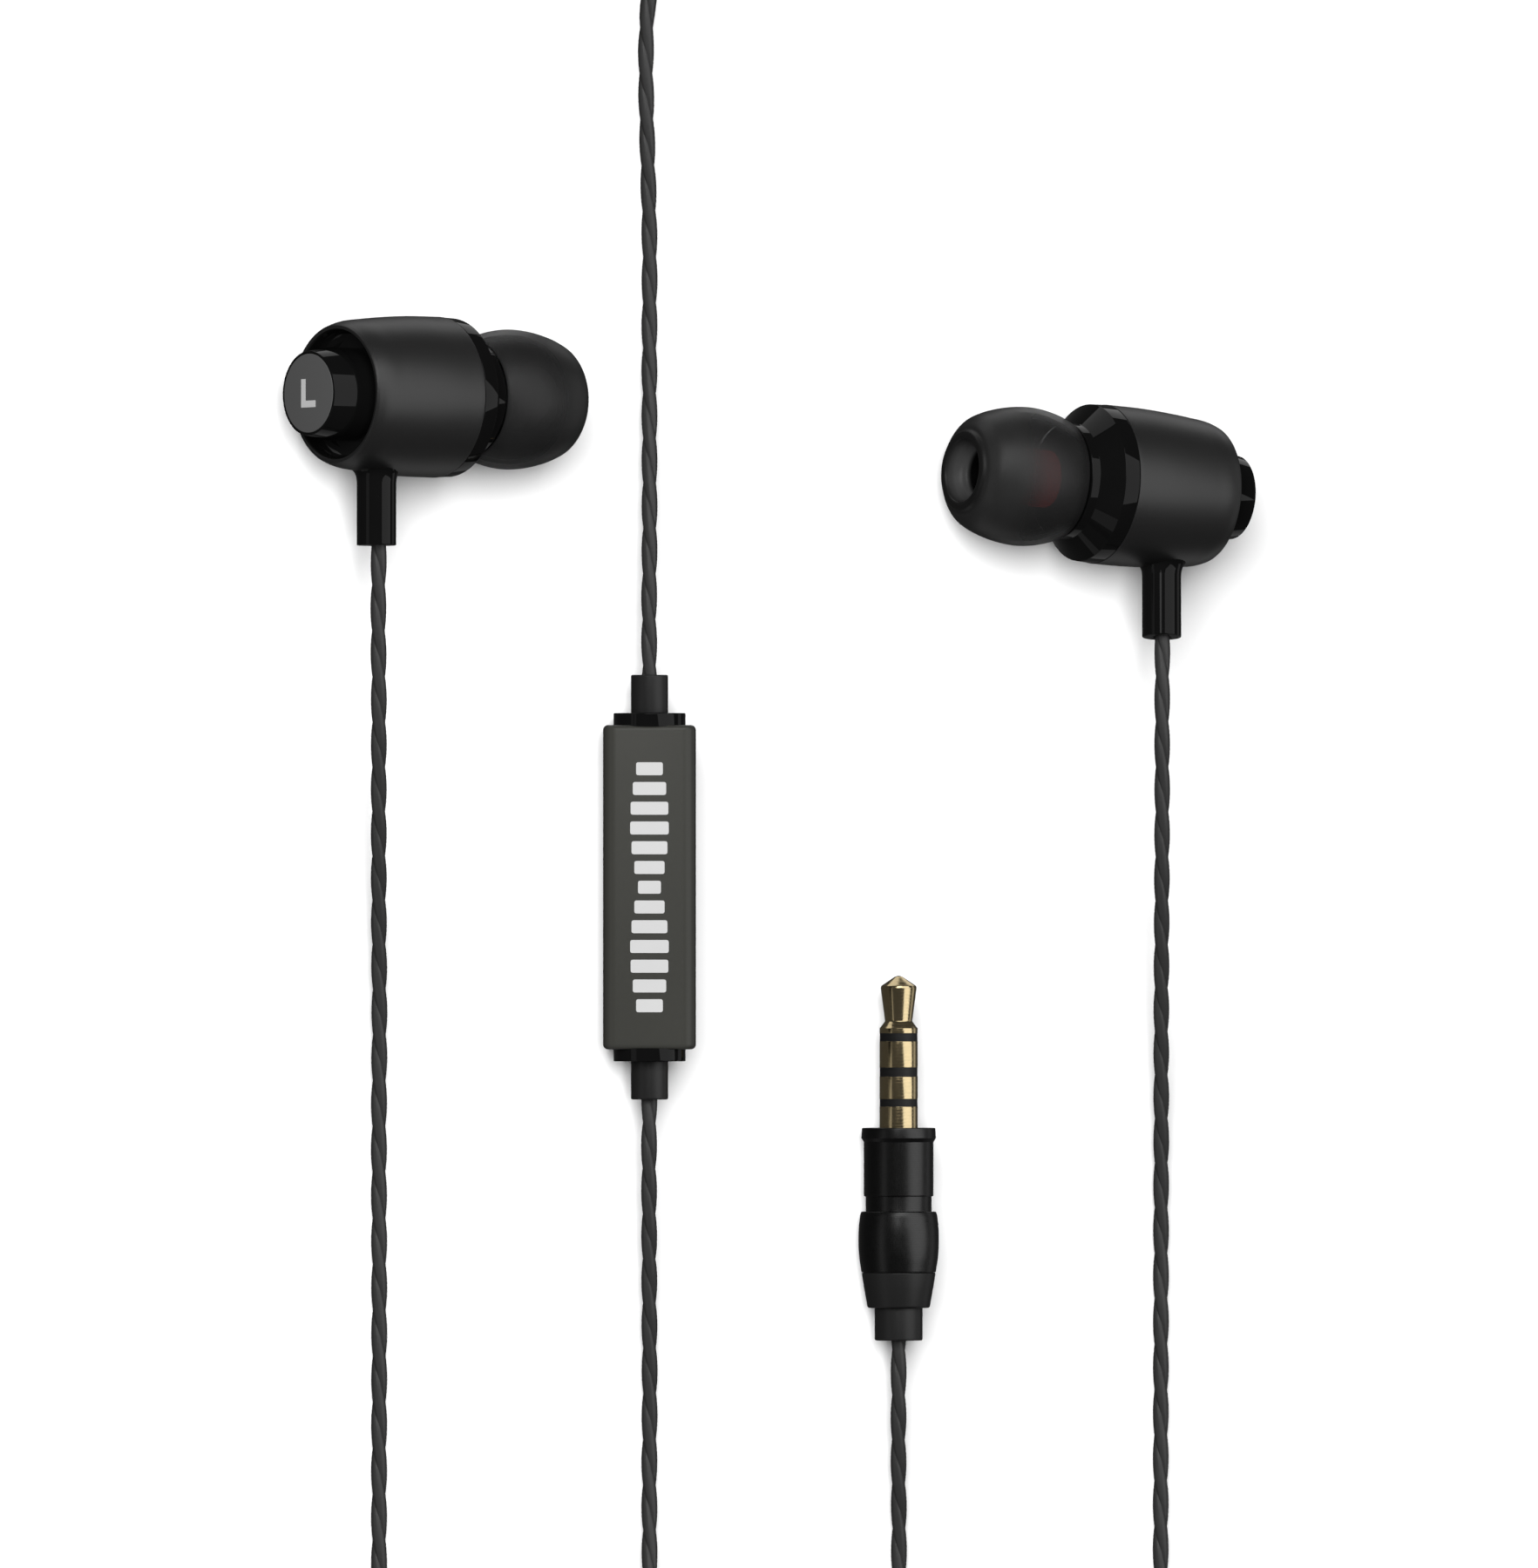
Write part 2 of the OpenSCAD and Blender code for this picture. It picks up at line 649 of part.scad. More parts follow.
module tube(route, sides = 8) {
    rings = len(route);
    points = [for (i = [0:rings - 1]) each section(route[i], heading(route, i), sides)];
    walls = [for (i = [0:rings - 2], k = [0:sides - 1]) let (next = (k + 1) % sides)
        each [[i * sides + k, (i + 1) * sides + k, (i + 1) * sides + next],
            [i * sides + k, (i + 1) * sides + next, i * sides + next]]];
    first = [for (k = [0:sides - 1]) k];
    last = [for (k = [sides - 1:-1:0]) (rings - 1) * sides + k];
    polyhedron(points = points, faces = concat([first], walls, [last]), convexity = 4);
}

module coil(at, r, n) {
    translate([at[0], at[1], coil_z(n)]) rotate_extrude() translate([r, 0]) circle(r = lay_r(n) + cord_r);
}

// A tie round a coil's bundle, which covers a few degrees of the coil
module tie(at, r, n, around) {
    tie_w = 3;
    sweep = tie_w / r * 180 / PI;
    translate([at[0], at[1], coil_z(n)]) rotate([0, 0, around]) rotate_extrude(angle = sweep)
        translate([r, 0]) difference() {
            circle(r = lay_r(n) + cord_r + tie_t);
            circle(r = lay_r(n) + cord_r);
        }
}

module left_cord() { color("#2e2e2e") { tube(left_route); tube(left_tail); } }
module right_cord() { color("#2e2e2e") { tube(right_route); tube(right_tail); } }
module remote_cord() { color("#2e2e2e") tube(remote_route); }
module plug_cord() { color("#2e2e2e") { tube(main_route); tube(plug_route); } }
module left_coil() { color("#2e2e2e") coil(left_coil_at, left_coil_r, branch_lay); }
module right_coil() { color("#2e2e2e") coil(right_coil_at, right_coil_r, branch_lay); }
module plug_coil() { color("#2e2e2e") coil(plug_coil_at, plug_coil_r, plug_lay); }
module cord_ties() {
    color("#1c1c1c") {
        tie(left_coil_at, left_coil_r, branch_lay, 20);
        tie(right_coil_at, right_coil_r, branch_lay, 0);
        tie(plug_coil_at, plug_coil_r, plug_lay, 80);
    }
}

// ---- Each earphone in its place ----

module at_left() { translate(left_at) rotate(left_turn) children(); }
module at_right() { translate(right_at) rotate(right_turn) children(); }

module earphone_piece(piece) {
    if (piece == "housing") color("#242424") housing();
    if (piece == "recess_cup") color("#101010") recess_cup();
    if (piece == "cap") color("#141414") cap();
    if (piece == "cap_disc") color("#474747") cap_disc();
    if (piece == "nozzle_cover") color("#0e0e0e") nozzle_cover();
    if (piece == "nozzle_mesh") color("silver") nozzle_mesh();
    if (piece == "ear_tip") color("#1a1a1a") ear_tip();
    if (piece == "stem") color("#161616") stem();
    if (piece == "driver_frame") color("#202020") driver_frame();
    if (piece == "driver_yoke") color("#9a9a98") driver_yoke();
    if (piece == "driver_magnet") color("#8c8c90") driver_magnet();
    if (piece == "voice_coil") color("#b4662e") voice_coil();
    if (piece == "diaphragm") color("#c9b98a") diaphragm();
    if (piece == "driver_board") color("#1f5a34") driver_board();
}

EARPHONE = ["housing", "recess_cup", "cap", "cap_disc", "nozzle_cover", "nozzle_mesh", "ear_tip", "stem",
    "driver_frame", "driver_yoke", "driver_magnet", "voice_coil", "diaphragm", "driver_board"];

for (piece = EARPHONE) {
    at_left() earphone_piece(piece);
    at_right() earphone_piece(piece);
}
at_left() color("#2a2a2a") nozzle_ring();  // left_nozzle_ring
at_right() color("#c01818") nozzle_ring();  // right_nozzle_ring
color("#3d3d3a") remote_body();
color("#161616") remote_cap(1);  // remote_cap_top
color("#161616") remote_cap(-1);  // remote_cap_bottom
color("#242424") remote_relief(1);  // remote_relief_top
color("#242424") remote_relief(-1);  // remote_relief_bottom
color("#2c2c2c") remote_button();
color("#1f5a34") remote_board();
color("#a8a8a4") remote_switch();
color("#c2c2bc") remote_microphone();
color("#d9b45a") plug_tip();
color("#d9b45a") plug_ring_front();
color("#d9b45a") plug_ring_rear();
color("#d9b45a") plug_sleeve();
color("#101010") plug_insulator();
color("#4a4a4a") plug_collar();
color("#4a4a4a") plug_barrel();
color("#1a1a1a") plug_boot();
color("#1a1a1a") plug_relief();
color("#242424") splitter();
color("#1a1a1a") splitter_relief();
left_cord();
right_cord();
remote_cord();
plug_cord();
left_coil();
right_coil();
plug_coil();
cord_ties();
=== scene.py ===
"""Wired in-ear earphones: the visible pieces, their finishes and the stage, built round the CAD frame."""

import json
import math

import bmesh
import bpy
from bpy.props import (
    FloatProperty,
    FloatVectorProperty,
    IntProperty,
    PointerProperty,
)
from mathutils import Matrix, Vector


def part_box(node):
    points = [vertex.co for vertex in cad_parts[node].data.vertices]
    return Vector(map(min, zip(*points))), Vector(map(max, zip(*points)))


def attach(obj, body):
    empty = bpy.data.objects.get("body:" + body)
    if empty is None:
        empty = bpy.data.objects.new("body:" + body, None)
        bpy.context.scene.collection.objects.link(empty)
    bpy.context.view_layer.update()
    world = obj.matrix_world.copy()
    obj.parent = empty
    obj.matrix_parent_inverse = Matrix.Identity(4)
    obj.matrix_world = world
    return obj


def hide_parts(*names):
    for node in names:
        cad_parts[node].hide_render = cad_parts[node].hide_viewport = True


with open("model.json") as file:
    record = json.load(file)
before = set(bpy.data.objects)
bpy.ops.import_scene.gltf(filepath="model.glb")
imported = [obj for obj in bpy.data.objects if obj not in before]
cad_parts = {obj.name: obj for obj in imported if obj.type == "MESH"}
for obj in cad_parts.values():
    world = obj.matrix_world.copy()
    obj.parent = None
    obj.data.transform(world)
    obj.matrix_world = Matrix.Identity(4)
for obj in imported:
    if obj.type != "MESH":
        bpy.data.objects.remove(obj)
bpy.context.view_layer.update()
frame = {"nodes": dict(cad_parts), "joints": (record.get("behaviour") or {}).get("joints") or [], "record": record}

bl_info = {
    "name": "Wired earphones",
    "version": (1, 0, 0),
    "blender": (4, 5, 0),
    "location": "3D View > Sidebar > Earphones",
    "description": "Builds the looks of a pair of wired in-ear earphones round its CAD frame",
    "category": "Object",
}

MM = 0.001
ROOT = "earphones"
SIDES = ("left", "right")


# ---- Shader building ----


class Wire:
    """One output of a node, with arithmetic that adds Math nodes."""

    def __init__(self, finish, socket):
        self.finish = finish
        self.socket = socket

    def _math(self, operation, *values):
        return self.finish.add("ShaderNodeMath", {"operation": operation}, dict(enumerate(values)))

    def __add__(self, other):
        return self._math("ADD", self, other)

    __radd__ = __add__

    def __sub__(self, other):
        return self._math("SUBTRACT", self, other)

    def __rsub__(self, other):
        return self._math("SUBTRACT", other, self)

    def __mul__(self, other):
        return self._math("MULTIPLY", self, other)

    __rmul__ = __mul__

    def sine(self):
        return self._math("SINE", self)

    def absolute(self):
        return self._math("ABSOLUTE", self)

    def root(self):
        return self._math("SQRT", self)

    def step(self, low, high):
        """0 below low, 1 above high, smooth in between."""
        settings = {"interpolation_type": "SMOOTHSTEP"}
        return self.finish.add("ShaderNodeMapRange", settings, {0: self, 1: low, 2: high})


class Finish:
    """A material under construction: a Principled shader and what feeds it."""

    def __init__(self, name, **fixed):
        self.material = bpy.data.materials.new(name)
        self.material.use_nodes = True
        self.tree = self.material.node_tree
        self.shader = self.tree.nodes["Principled BSDF"]
        for socket, value in fixed.items():
            self.shader.inputs[socket.replace("_", " ").title().replace("Ior", "IOR")].default_value = value

    def add(self, kind, settings=None, inputs=None, output=0):
        """Adds a node. Its settings come first, then a value or a Wire for each named or numbered input."""
        node = self.tree.nodes.new(kind)
        for key, value in (settings or {}).items():
            setattr(node, key, value)
        for key, value in (inputs or {}).items():
            if isinstance(value, Wire):
                self.tree.links.new(value.socket, node.inputs[key])
            else:
                node.inputs[key].default_value = value
        return Wire(self, node.outputs[output])

    def place(self, output="Object"):
        return self.add("ShaderNodeTexCoord", output=output)

    def along(self, axis, origin):
        """Distance in metres along an axis through a point, for every point of the surface."""
        offset = self.add("ShaderNodeVectorMath", {"operation": "SUBTRACT"}, {0: self.place(), 1: origin})
        return self.add("ShaderNodeVectorMath", {"operation": "DOT_PRODUCT"}, {0: offset, 1: axis}, "Value")

    def noise(self, size, detail=2.0):
        """Noise whose features are about the given size in metres."""
        inputs = {"Vector": self.place(), "Scale": 1 / size, "Detail": detail}
        return self.add("ShaderNodeTexNoise", None, inputs)

    def blend(self, factor, first, second):
        """A colour that goes from the first to the second as the factor goes from 0 to 1."""
        return self.add(
            "ShaderNodeMix", {"data_type": "RGBA"}, {0: factor, 6: (*first, 1), 7: (*second, 1)}, 2
        )

    def feed(self, socket, wire):
        self.tree.links.new(wire.socket, self.shader.inputs[socket])

    def bump(self, height, depth, strength=1.0):
        """Raises the surface by height times depth metres."""
        wire = self.add("ShaderNodeBump", None, {"Strength": strength, "Distance": depth, "Height": height})
        self.feed("Normal", wire)


def grey(value):
    return (value, value, value)


def satin_plastic(name, colour, roughness=0.4, grain=0.00012, gloss=0.42):
    """Moulded satin plastic: fine grain, and slightly uneven gloss."""
    f = Finish(name, specular_ior_level=gloss)
    wear = f.noise(0.012, 3)
    fine = f.noise(grain, 2)
    f.feed("Base Color", f.blend(wear, [c * 0.92 for c in colour], [c * 1.08 for c in colour]))
    f.feed("Roughness", roughness - 0.03 + 0.06 * wear)
    f.bump(fine, 0.000004, 0.35)
    return f.material


def gloss_plastic(name, colour, roughness=0.015, ior=1.27):
    """Polished plastic: near-mirror, with faint handling marks in the gloss."""
    f = Finish(name, ior=ior)
    marks = f.noise(0.0025, 4)
    f.feed("Base Color", f.blend(marks, colour, [c * 1.3 for c in colour]))
    f.feed("Roughness", roughness + 0.04 * marks.step(0.5, 0.85))
    return f.material


def turned_metal(name, colour, roughness, axis, origin, pitch=0.00018):
    """Metal turned on a lathe: fine rings round its axis, and a satin sheen."""
    f = Finish(name, metallic=1.0)
    offset = f.along(axis, origin)
    grain = f.noise(0.0005, 3)
    rings = (offset * (2 * math.pi / pitch) + grain * 5).sine()
    f.feed("Base Color", f.blend(grain, [c * 0.9 for c in colour], [c * 1.1 for c in colour]))
    f.feed("Roughness", roughness + 0.05 * rings + 0.08 * grain)
    f.bump(rings, 0.000002, 0.3)
    return f.material


def spun_metal(name, colour, roughness, axis, origin):
    """A flat face with circular brushing round its axis."""
    f = Finish(name, metallic=0.1, specular_ior_level=0.4)
    offset = f.add("ShaderNodeVectorMath", {"operation": "SUBTRACT"}, {0: f.place(), 1: origin})
    radius = f.add("ShaderNodeVectorMath", {"operation": "LENGTH"}, {0: offset}, "Value")
    depth = f.along(axis, origin)
    flat = (radius * radius - depth * depth).absolute().root()
    grain = f.noise(0.0008, 2)
    rings = (flat * (2 * math.pi / 0.00013) + grain * 7).sine()
    f.feed("Base Color", f.blend(rings * 0.5 + 0.5, [c * 0.93 for c in colour], [c * 1.07 for c in colour]))
    f.feed("Roughness", roughness + 0.04 * rings + 0.06 * grain)
    f.bump(rings, 0.0000015, 0.25)
    return f.material


def woven(name, colour, pitch=0.0003):
    """A narrow woven tape."""
    f = Finish(name, roughness=0.85, sheen_weight=0.3, specular_ior_level=0.25)
    x, y = f.along((1, 0, 0), (0, 0, 0)), f.along((0, 1, 0), (0, 0, 0))
    turn = 2 * math.pi / pitch
    weave = ((x + y) * turn).sine() * ((x - y) * turn).sine()
    f.feed("Base Color", f.blend(weave * 0.5 + 0.5, [c * 0.6 for c in colour], [c * 1.6 for c in colour]))
    f.bump(weave, 0.00003, 0.8)
    return f.material


def silicone(name, colour, axis, origin, sleeve_r, dome_alpha, sleeve_alpha):
    """Smoke-black silicone, thin enough over the dome to let the nozzle show through, with painted shade and
    painted light at the mouth.
    """
    f = Finish(name, specular_ior_level=0.4)
    offset = f.add("ShaderNodeVectorMath", {"operation": "SUBTRACT"}, {0: f.place(), 1: origin})
    reach = f.add("ShaderNodeVectorMath", {"operation": "LENGTH"}, {0: offset}, "Value")
    depth = f.along(axis, origin)
    radius = (reach * reach - depth * depth).absolute().root()
    dome = radius.step(sleeve_r + 0.0003, sleeve_r + 0.0009)
    # The mouth's rolled edge, its wall and its bore, by distance along the axis and from it in metres, where the
    # tone paints shade and light
    roll_shade = depth.step(0.0197, 0.0206) * radius.step(0.0028, 0.003) * (1 - radius.step(0.0036, 0.0042))
    wall = depth.step(0.0196, 0.0199) * (1 - radius.step(0.0027, 0.0029))
    bore = (1 - depth.step(0.0194, 0.0197)) * (1 - radius.step(0.0021, 0.0023))
    haze = f.noise(0.003, 3)
    dust = f.noise(0.0003, 2)
    # Painted shade darkens the rolled edge and the bore, and painted light brightens the wall inside the mouth;
    # the haze is random tone
    tone = 0.3 + 0.15 * haze - 0.25 * roll_shade - 0.4 * bore + 0.6 * wall
    f.feed("Base Color", f.blend(tone, [c * 0.1 for c in colour], [c * 3 for c in colour]))
    f.feed("Roughness", 0.34 + 0.12 * haze + 0.05 * dust)
    clear = (1 - dome_alpha) + (dome_alpha - sleeve_alpha) * (1 - dome)
    f.feed("Alpha", 1 - clear * (1 - depth.step(0.0155, 0.0195)))
    f.bump(dust, 0.000003, 0.3)
    return f.material


def cord_sheath(name, colour):
    """Soft vinyl sheath with a faint satin grain."""
    f = Finish(name, specular_ior_level=0.45)
    patch = f.noise(0.006, 3)
    fine = f.noise(0.00015, 2)
    f.feed("Base Color", f.blend(patch, [c * 0.8 for c in colour], [c * 1.25 for c in colour]))
    f.feed("Roughness", 0.36 + 0.1 * patch)
    f.bump(fine, 0.000004, 0.3)
    return f.material


def plain_metal(name, colour, roughness=0.25, grain=0.0004):
    f = Finish(name, metallic=1.0)
    scale = f.noise(grain, 4)
    f.feed("Base Color", f.blend(scale, [c * 0.85 for c in colour], [c * 1.1 for c in colour]))
    f.feed("Roughness", roughness + 0.12 * scale)
    return f.material


def wound_wire(name, colour, axis, origin, pitch=0.00009):
    """Enamelled copper wire wound on a former."""
    f = Finish(name, metallic=0.9)
    turns = (f.along(axis, origin) * (2 * math.pi / pitch)).sine()
    f.feed("Base Color", f.blend(turns * 0.5 + 0.5, [c * 0.5 for c in colour], colour))
    f.feed("Roughness", 0.3 + 0.1 * turns)
    f.bump(turns, 0.00001, 0.8)
    return f.material


def solder_mask(name, colour):
    """Circuit board: green mask with copper traces under it."""
    f = Finish(name, roughness=0.3)
    cells = f.add(
        "ShaderNodeTexVoronoi", {"feature": "DISTANCE_TO_EDGE"}, {"Vector": f.place(), "Scale": 900}
    )
    trace = cells.step(0.03, 0.06)
    f.feed("Base Color", f.blend(trace, [c * 2.2 for c in colour], colour))
    f.bump(1 - trace, 0.00002, 0.5)
    return f.material


# ---- Mesh building ----


def curve_through(points, steps):
    """Points on a smooth line through the given ones, with the given steps in each stretch."""
    points = [Vector(p) for p in points]
    line = []
    for i in range(len(points) - 1):
        before = points[i - 1] if i else points[0] * 2 - points[1]
        after = points[i + 2] if i + 2 < len(points) else points[-1] * 2 - points[-2]
        line += [hermite(before, points[i], points[i + 1], after, k / steps) for k in range(steps)]
    return line + [points[-1]]


def hermite(before, start, end, after, t):
    """A point between start and end whose slopes follow the neighbours, however uneven their spacing."""
    span = (end - start).length
    slope_in = blend_slope(before, start, end) * min(span, 3 * (start - before).length)
    slope_out = blend_slope(start, end, after) * min(span, 3 * (after - end).length)
    t2, t3 = t * t, t * t * t
    return (
        start * (2 * t3 - 3 * t2 + 1)
        + slope_in * (t3 - 2 * t2 + t)
        + end * (3 * t2 - 2 * t3)
        + slope_out * (t3 - t2)
    )


def blend_slope(before, here, after):
    """The slope of a route at a point: each side's direction, the shorter side counting for more."""
    first, second = here - before, after - here
    a, b = first.length, second.length
    if a < 1e-12 or b < 1e-12:
        return (first + second).normalized()
    return (first / a * b + second / b * a) / (a + b)


def filleted(outline, steps=5):
    """An outline whose points may carry a fillet radius as a third number, with the fillets drawn."""
    count = len(outline)
    done = []
    for i, point in enumerate(outline):
        here = Vector(point[:2])
        fillet = point[2] if len(point) > 2 else 0
        if not fillet:
            done.append(here)
            continue
        back = Vector(outline[i - 1][:2]) - here
        ahead = Vector(outline[(i + 1) % count][:2]) - here
        half = back.angle(ahead) / 2
        cut = min(fillet / math.tan(half), back.length * 0.49, ahead.length * 0.49)
        start, end = here + back.normalized() * cut, here + ahead.normalized() * cut
        for k in range(steps + 1):
            t = k / steps
            done.append(start * (1 - t) ** 2 + here * (2 * t * (1 - t)) + end * t * t)
    return done


def finish_mesh(bm, name, material, smooth_angle=30):
    """Turns a bmesh into an object with outward faces and sharp edges kept."""
    bmesh.ops.remove_doubles(bm, verts=bm.verts, dist=1e-7)
    bmesh.ops.dissolve_degenerate(bm, dist=1e-8, edges=bm.edges)
    bmesh.ops.recalc_face_normals(bm, faces=bm.faces)
    mesh = bpy.data.meshes.new(name)
    bm.to_mesh(mesh)
    bm.free()
    mesh.shade_smooth()
    mesh.set_sharp_from_angle(angle=math.radians(smooth_angle))
    piece = bpy.data.objects.new(name, mesh)
    bpy.context.scene.collection.objects.link(piece)
    mesh.materials.append(material)
    return piece


def wall_into(bm, first, second):
    """Joins two rings of the same number of corners with a band of faces."""
    count = len(first)
    for k in range(count):
        n = (k + 1) % count
        bm.faces.new((first[k], first[n], second[n], second[k]))


def slab_into(bm, low, high):
    """A closed slab between two outlines, given as points in metres."""
    rows = [[bm.verts.new(point) for point in row] for row in (low, high)]
    wall_into(bm, *rows)
    for row in rows:
        bm.faces.new(row)


def lathe_into(bm, outline, matrix, segments=128):
    """Spins an outline of (radius, distance) pairs in mm round the matrix's own X axis."""
    rings = []
    for radius, along in [p[:2] for p in outline]:
        ring = []
        for k in range(segments):
            a = 2 * math.pi * k / segments
            spot = Vector((along, radius * math.cos(a), radius * math.sin(a))) * MM
            ring.append(bm.verts.new(matrix @ spot))
        rings.append(ring)
    for first, second in zip(rings, rings[1:] + rings[:1]):
        wall_into(bm, first, second)


def lathe(name, outline, matrix, material, segments=128, smooth_angle=30):
    """A turned piece from an outline whose points may carry a fillet radius."""
    bm = bmesh.new()
    lathe_into(bm, filleted(outline), matrix, segments)
    return finish_mesh(bm, name, material, smooth_angle)


def extrude_into(bm, stations, matrix):
    """Joins sections along the matrix's own Y axis. Each station is (distance, section) in mm."""
    rings = []
    for along, section in stations:
        rings.append([bm.verts.new(matrix @ (Vector((x, along, z)) * MM)) for x, z in section])
    for first, second in zip(rings, rings[1:]):
        wall_into(bm, first, second)
    return rings


def prism(name, stations, matrix, material, capped=True):
    """A piece from sections along Y, with flat ends or with its last section joined to its first."""
    bm = bmesh.new()
    rings = extrude_into(bm, stations, matrix)
    if capped:
        bm.faces.new(rings[0])
        bm.faces.new(rings[-1])
    else:
        wall_into(bm, rings[-1], rings[0])
    return finish_mesh(bm, name, material)


def rounded_end(fillet, steps=5):
    """How far the sections of a rounded end stand from it, and how far in from the full section, in mm."""
    turns = [math.radians(90 * k / steps) for k in range(steps + 1)]
    return [(fillet - fillet * math.cos(a), fillet - fillet * math.sin(a)) for a in turns]


def arc(centre, radius, start, end, steps):
    """Points in mm on an arc, angles in degrees."""
    points = []
    for k in range(steps + 1):
        a = math.radians(start + (end - start) * k / steps)
        points.append(Vector((centre[0] + radius * math.cos(a), centre[1] + radius * math.sin(a))))
    return points


def cut(piece, tool):
    """Cuts the tool's shape out of the piece and removes the tool."""
    modifier = piece.modifiers.new("cut", "BOOLEAN")
    modifier.operation = "DIFFERENCE"
    modifier.solver = "EXACT"
    modifier.object = tool
    bpy.context.view_layer.update()
    evaluated = piece.evaluated_get(bpy.context.evaluated_depsgraph_get())
    mesh = bpy.data.meshes.new_from_object(evaluated)
    piece.modifiers.clear()
    piece.data = mesh
    mesh.set_sharp_from_angle(angle=math.radians(30))
    bpy.data.objects.remove(tool)


def sweep_into(bm, path, outline_at, up=Vector((0, 0, 1))):
    """A tube along a path. outline_at(distance) gives each ring's (across, up) points in metres."""
    rings, distance = [], 0.0
    count = len(path)
    for i, spot in enumerate(path):
        if i:
            distance += (spot - path[i - 1]).length
        ahead = (path[min(i + 1, count - 1)] - path[max(i - 1, 0)]).normalized()
        across = ahead.cross(up).normalized()
        over = across.cross(ahead)
        rings.append([bm.verts.new(spot + across * a + over * b) for a, b in outline_at(distance)])
    for first, second in zip(rings, rings[1:]):
        wall_into(bm, first, second)
    for ring in (rings[0], rings[-1]):
        bm.faces.new(ring)


# ---- Sizes and colours ----


class EarphoneSizes(bpy.types.PropertyGroup):
    """Sizes of one earphone, about its own axis."""

    housing_r: FloatProperty(
        name="Housing radius", default=7.35, min=6, max=9, description="At its front, in mm"
    )
    housing_rear_r: FloatProperty(
        name="Rear radius", default=6.65, min=6, max=8, description="Near the back, in mm"
    )
    lip_r: FloatProperty(name="Back opening radius", default=5.95, min=5, max=6.2, description="In mm")
    cap_r: FloatProperty(name="Cap radius", default=4.25, min=3, max=5, description="At its widest, in mm")
    face_r: FloatProperty(name="Cap face radius", default=3.85, min=2.5, max=4.6, description="In mm")
    neck_r: FloatProperty(name="Neck radius", default=5.3, min=4, max=6, description="In mm")
    nozzle_r: FloatProperty(name="Nozzle radius", default=2.65, min=2, max=3.2, description="In mm")
    sound_r: FloatProperty(name="Sound bore radius", default=1.75, min=1, max=2, description="In mm")
    tip_r: FloatProperty(name="Ear tip radius", default=6.4, min=5, max=8, description="At its widest, in mm")
    stem_r: FloatProperty(name="Stem radius", default=1.8, min=1.2, max=2.4, description="In mm")


class CordSizes(bpy.types.PropertyGroup):
    """The twisted cord."""

    diameter: FloatProperty(
        name="Diameter", default=1.4 * MM, min=0.0005, max=0.003, unit="LENGTH", description="Over both lobes"
    )
    lay: FloatProperty(
        name="Lay", default=8.4 * MM, min=0.002, max=0.03, unit="LENGTH",
        description="Length of one full twist",
    )
    ring_step: FloatProperty(
        name="Ring step", default=0.35 * MM, min=0.0001, max=0.002, unit="LENGTH",
        description="Distance between the rings of the cord's mesh",
    )
    sides: IntProperty(name="Sides", default=24, min=8, max=48, description="Points round the cord")


class FinishColours(bpy.types.PropertyGroup):
    """Colours of the finishes."""

    housing: FloatVectorProperty(
        name="Housing", default=grey(0.006), subtype="COLOR", description="Satin black plastic"
    )
    gloss: FloatVectorProperty(
        name="Gloss black", default=grey(0.0023), subtype="COLOR", description="Polished trim"
    )
    silicone: FloatVectorProperty(
        name="Silicone", default=grey(0.009), subtype="COLOR", description="Smoke-black ear tips"
    )
    cap_face: FloatVectorProperty(
        name="Cap face", default=grey(0.062), subtype="COLOR", description="Flat grey disc"
    )
    mark: FloatVectorProperty(
        name="Marks", default=grey(0.36), subtype="COLOR", description="Printed side letters and level bars"
    )
    remote: FloatVectorProperty(
        name="Remote", default=(0.026, 0.026, 0.023), subtype="COLOR", description="Satin dark grey sleeve"
    )
    cord: FloatVectorProperty(
        name="Cord", default=grey(0.018), subtype="COLOR", description="Twisted cord sheath"
    )
    channel: FloatVectorProperty(
        name="Right ring", default=(0.5, 0.01, 0.012), subtype="COLOR", description="Ring on the right nozzle"
    )
    gold: FloatVectorProperty(
        name="Gold", default=(0.71, 0.57, 0.33), subtype="COLOR", description="Plug contacts"
    )
    grip: FloatVectorProperty(
        name="Grip", default=grey(0.06), subtype="COLOR", description="Dark metal of the plug's grip"
    )


class StageSettings(bpy.types.PropertyGroup):
    """Camera, floor and lights."""

    aim: FloatVectorProperty(
        name="Aim", default=(0.00515, -0.02795, 0), subtype="TRANSLATION", description="Middle of the view"
    )
    distance: FloatProperty(
        name="Camera distance", default=5, min=0.3, max=15, unit="LENGTH",
        description="From the middle of the view",
    )
    tilt: FloatProperty(
        name="Camera tilt", default=math.radians(35), subtype="ANGLE",
        description="From straight down, towards -X",
    )
    view_height: FloatProperty(
        name="View height", default=144 * MM, unit="LENGTH", description="What the picture's height takes in"
    )
    floor: FloatVectorProperty(
        name="Floor", default=grey(0.9), subtype="COLOR", description="Pale plain floor"
    )
    world: FloatProperty(name="Ambient", default=0.06, min=0, max=5, description="Strength of the even light")


# ---- Where things are ----


def node_points(node):
    return [v.co for v in frame["nodes"][node].data.vertices]


def middle(points):
    total = Vector((0, 0, 0))
    for point in points:
        total += point
    return total / len(points)


def mount(name):
    """A mount's place and the unit direction of its axis."""
    found = next(m for m in frame["record"]["mounts"] if m["name"] == name)
    return Vector(found["pos_m"]), Vector(found["axis"]).normalized()


def joint_axis(name):
    """The unit direction of a joint's axis."""
    return Vector(next(j for j in frame["joints"] if j["name"] == name)["axis"]).normalized()


# Along an earphone's axis from the stem's, in mm: the ear tip's face, the cap's face, the dish's floor,
# and the groove of the channel ring
TIP_FACE, CAP_FACE, DISH_FLOOR = 21.8, -7.87, -2.9
GROOVE_START, GROOVE_END, GROOVE_DEPTH = 12.5, 16.1, 0.2
INK_T = 0.03  # how far a printed letter stands either side of its face, in mm


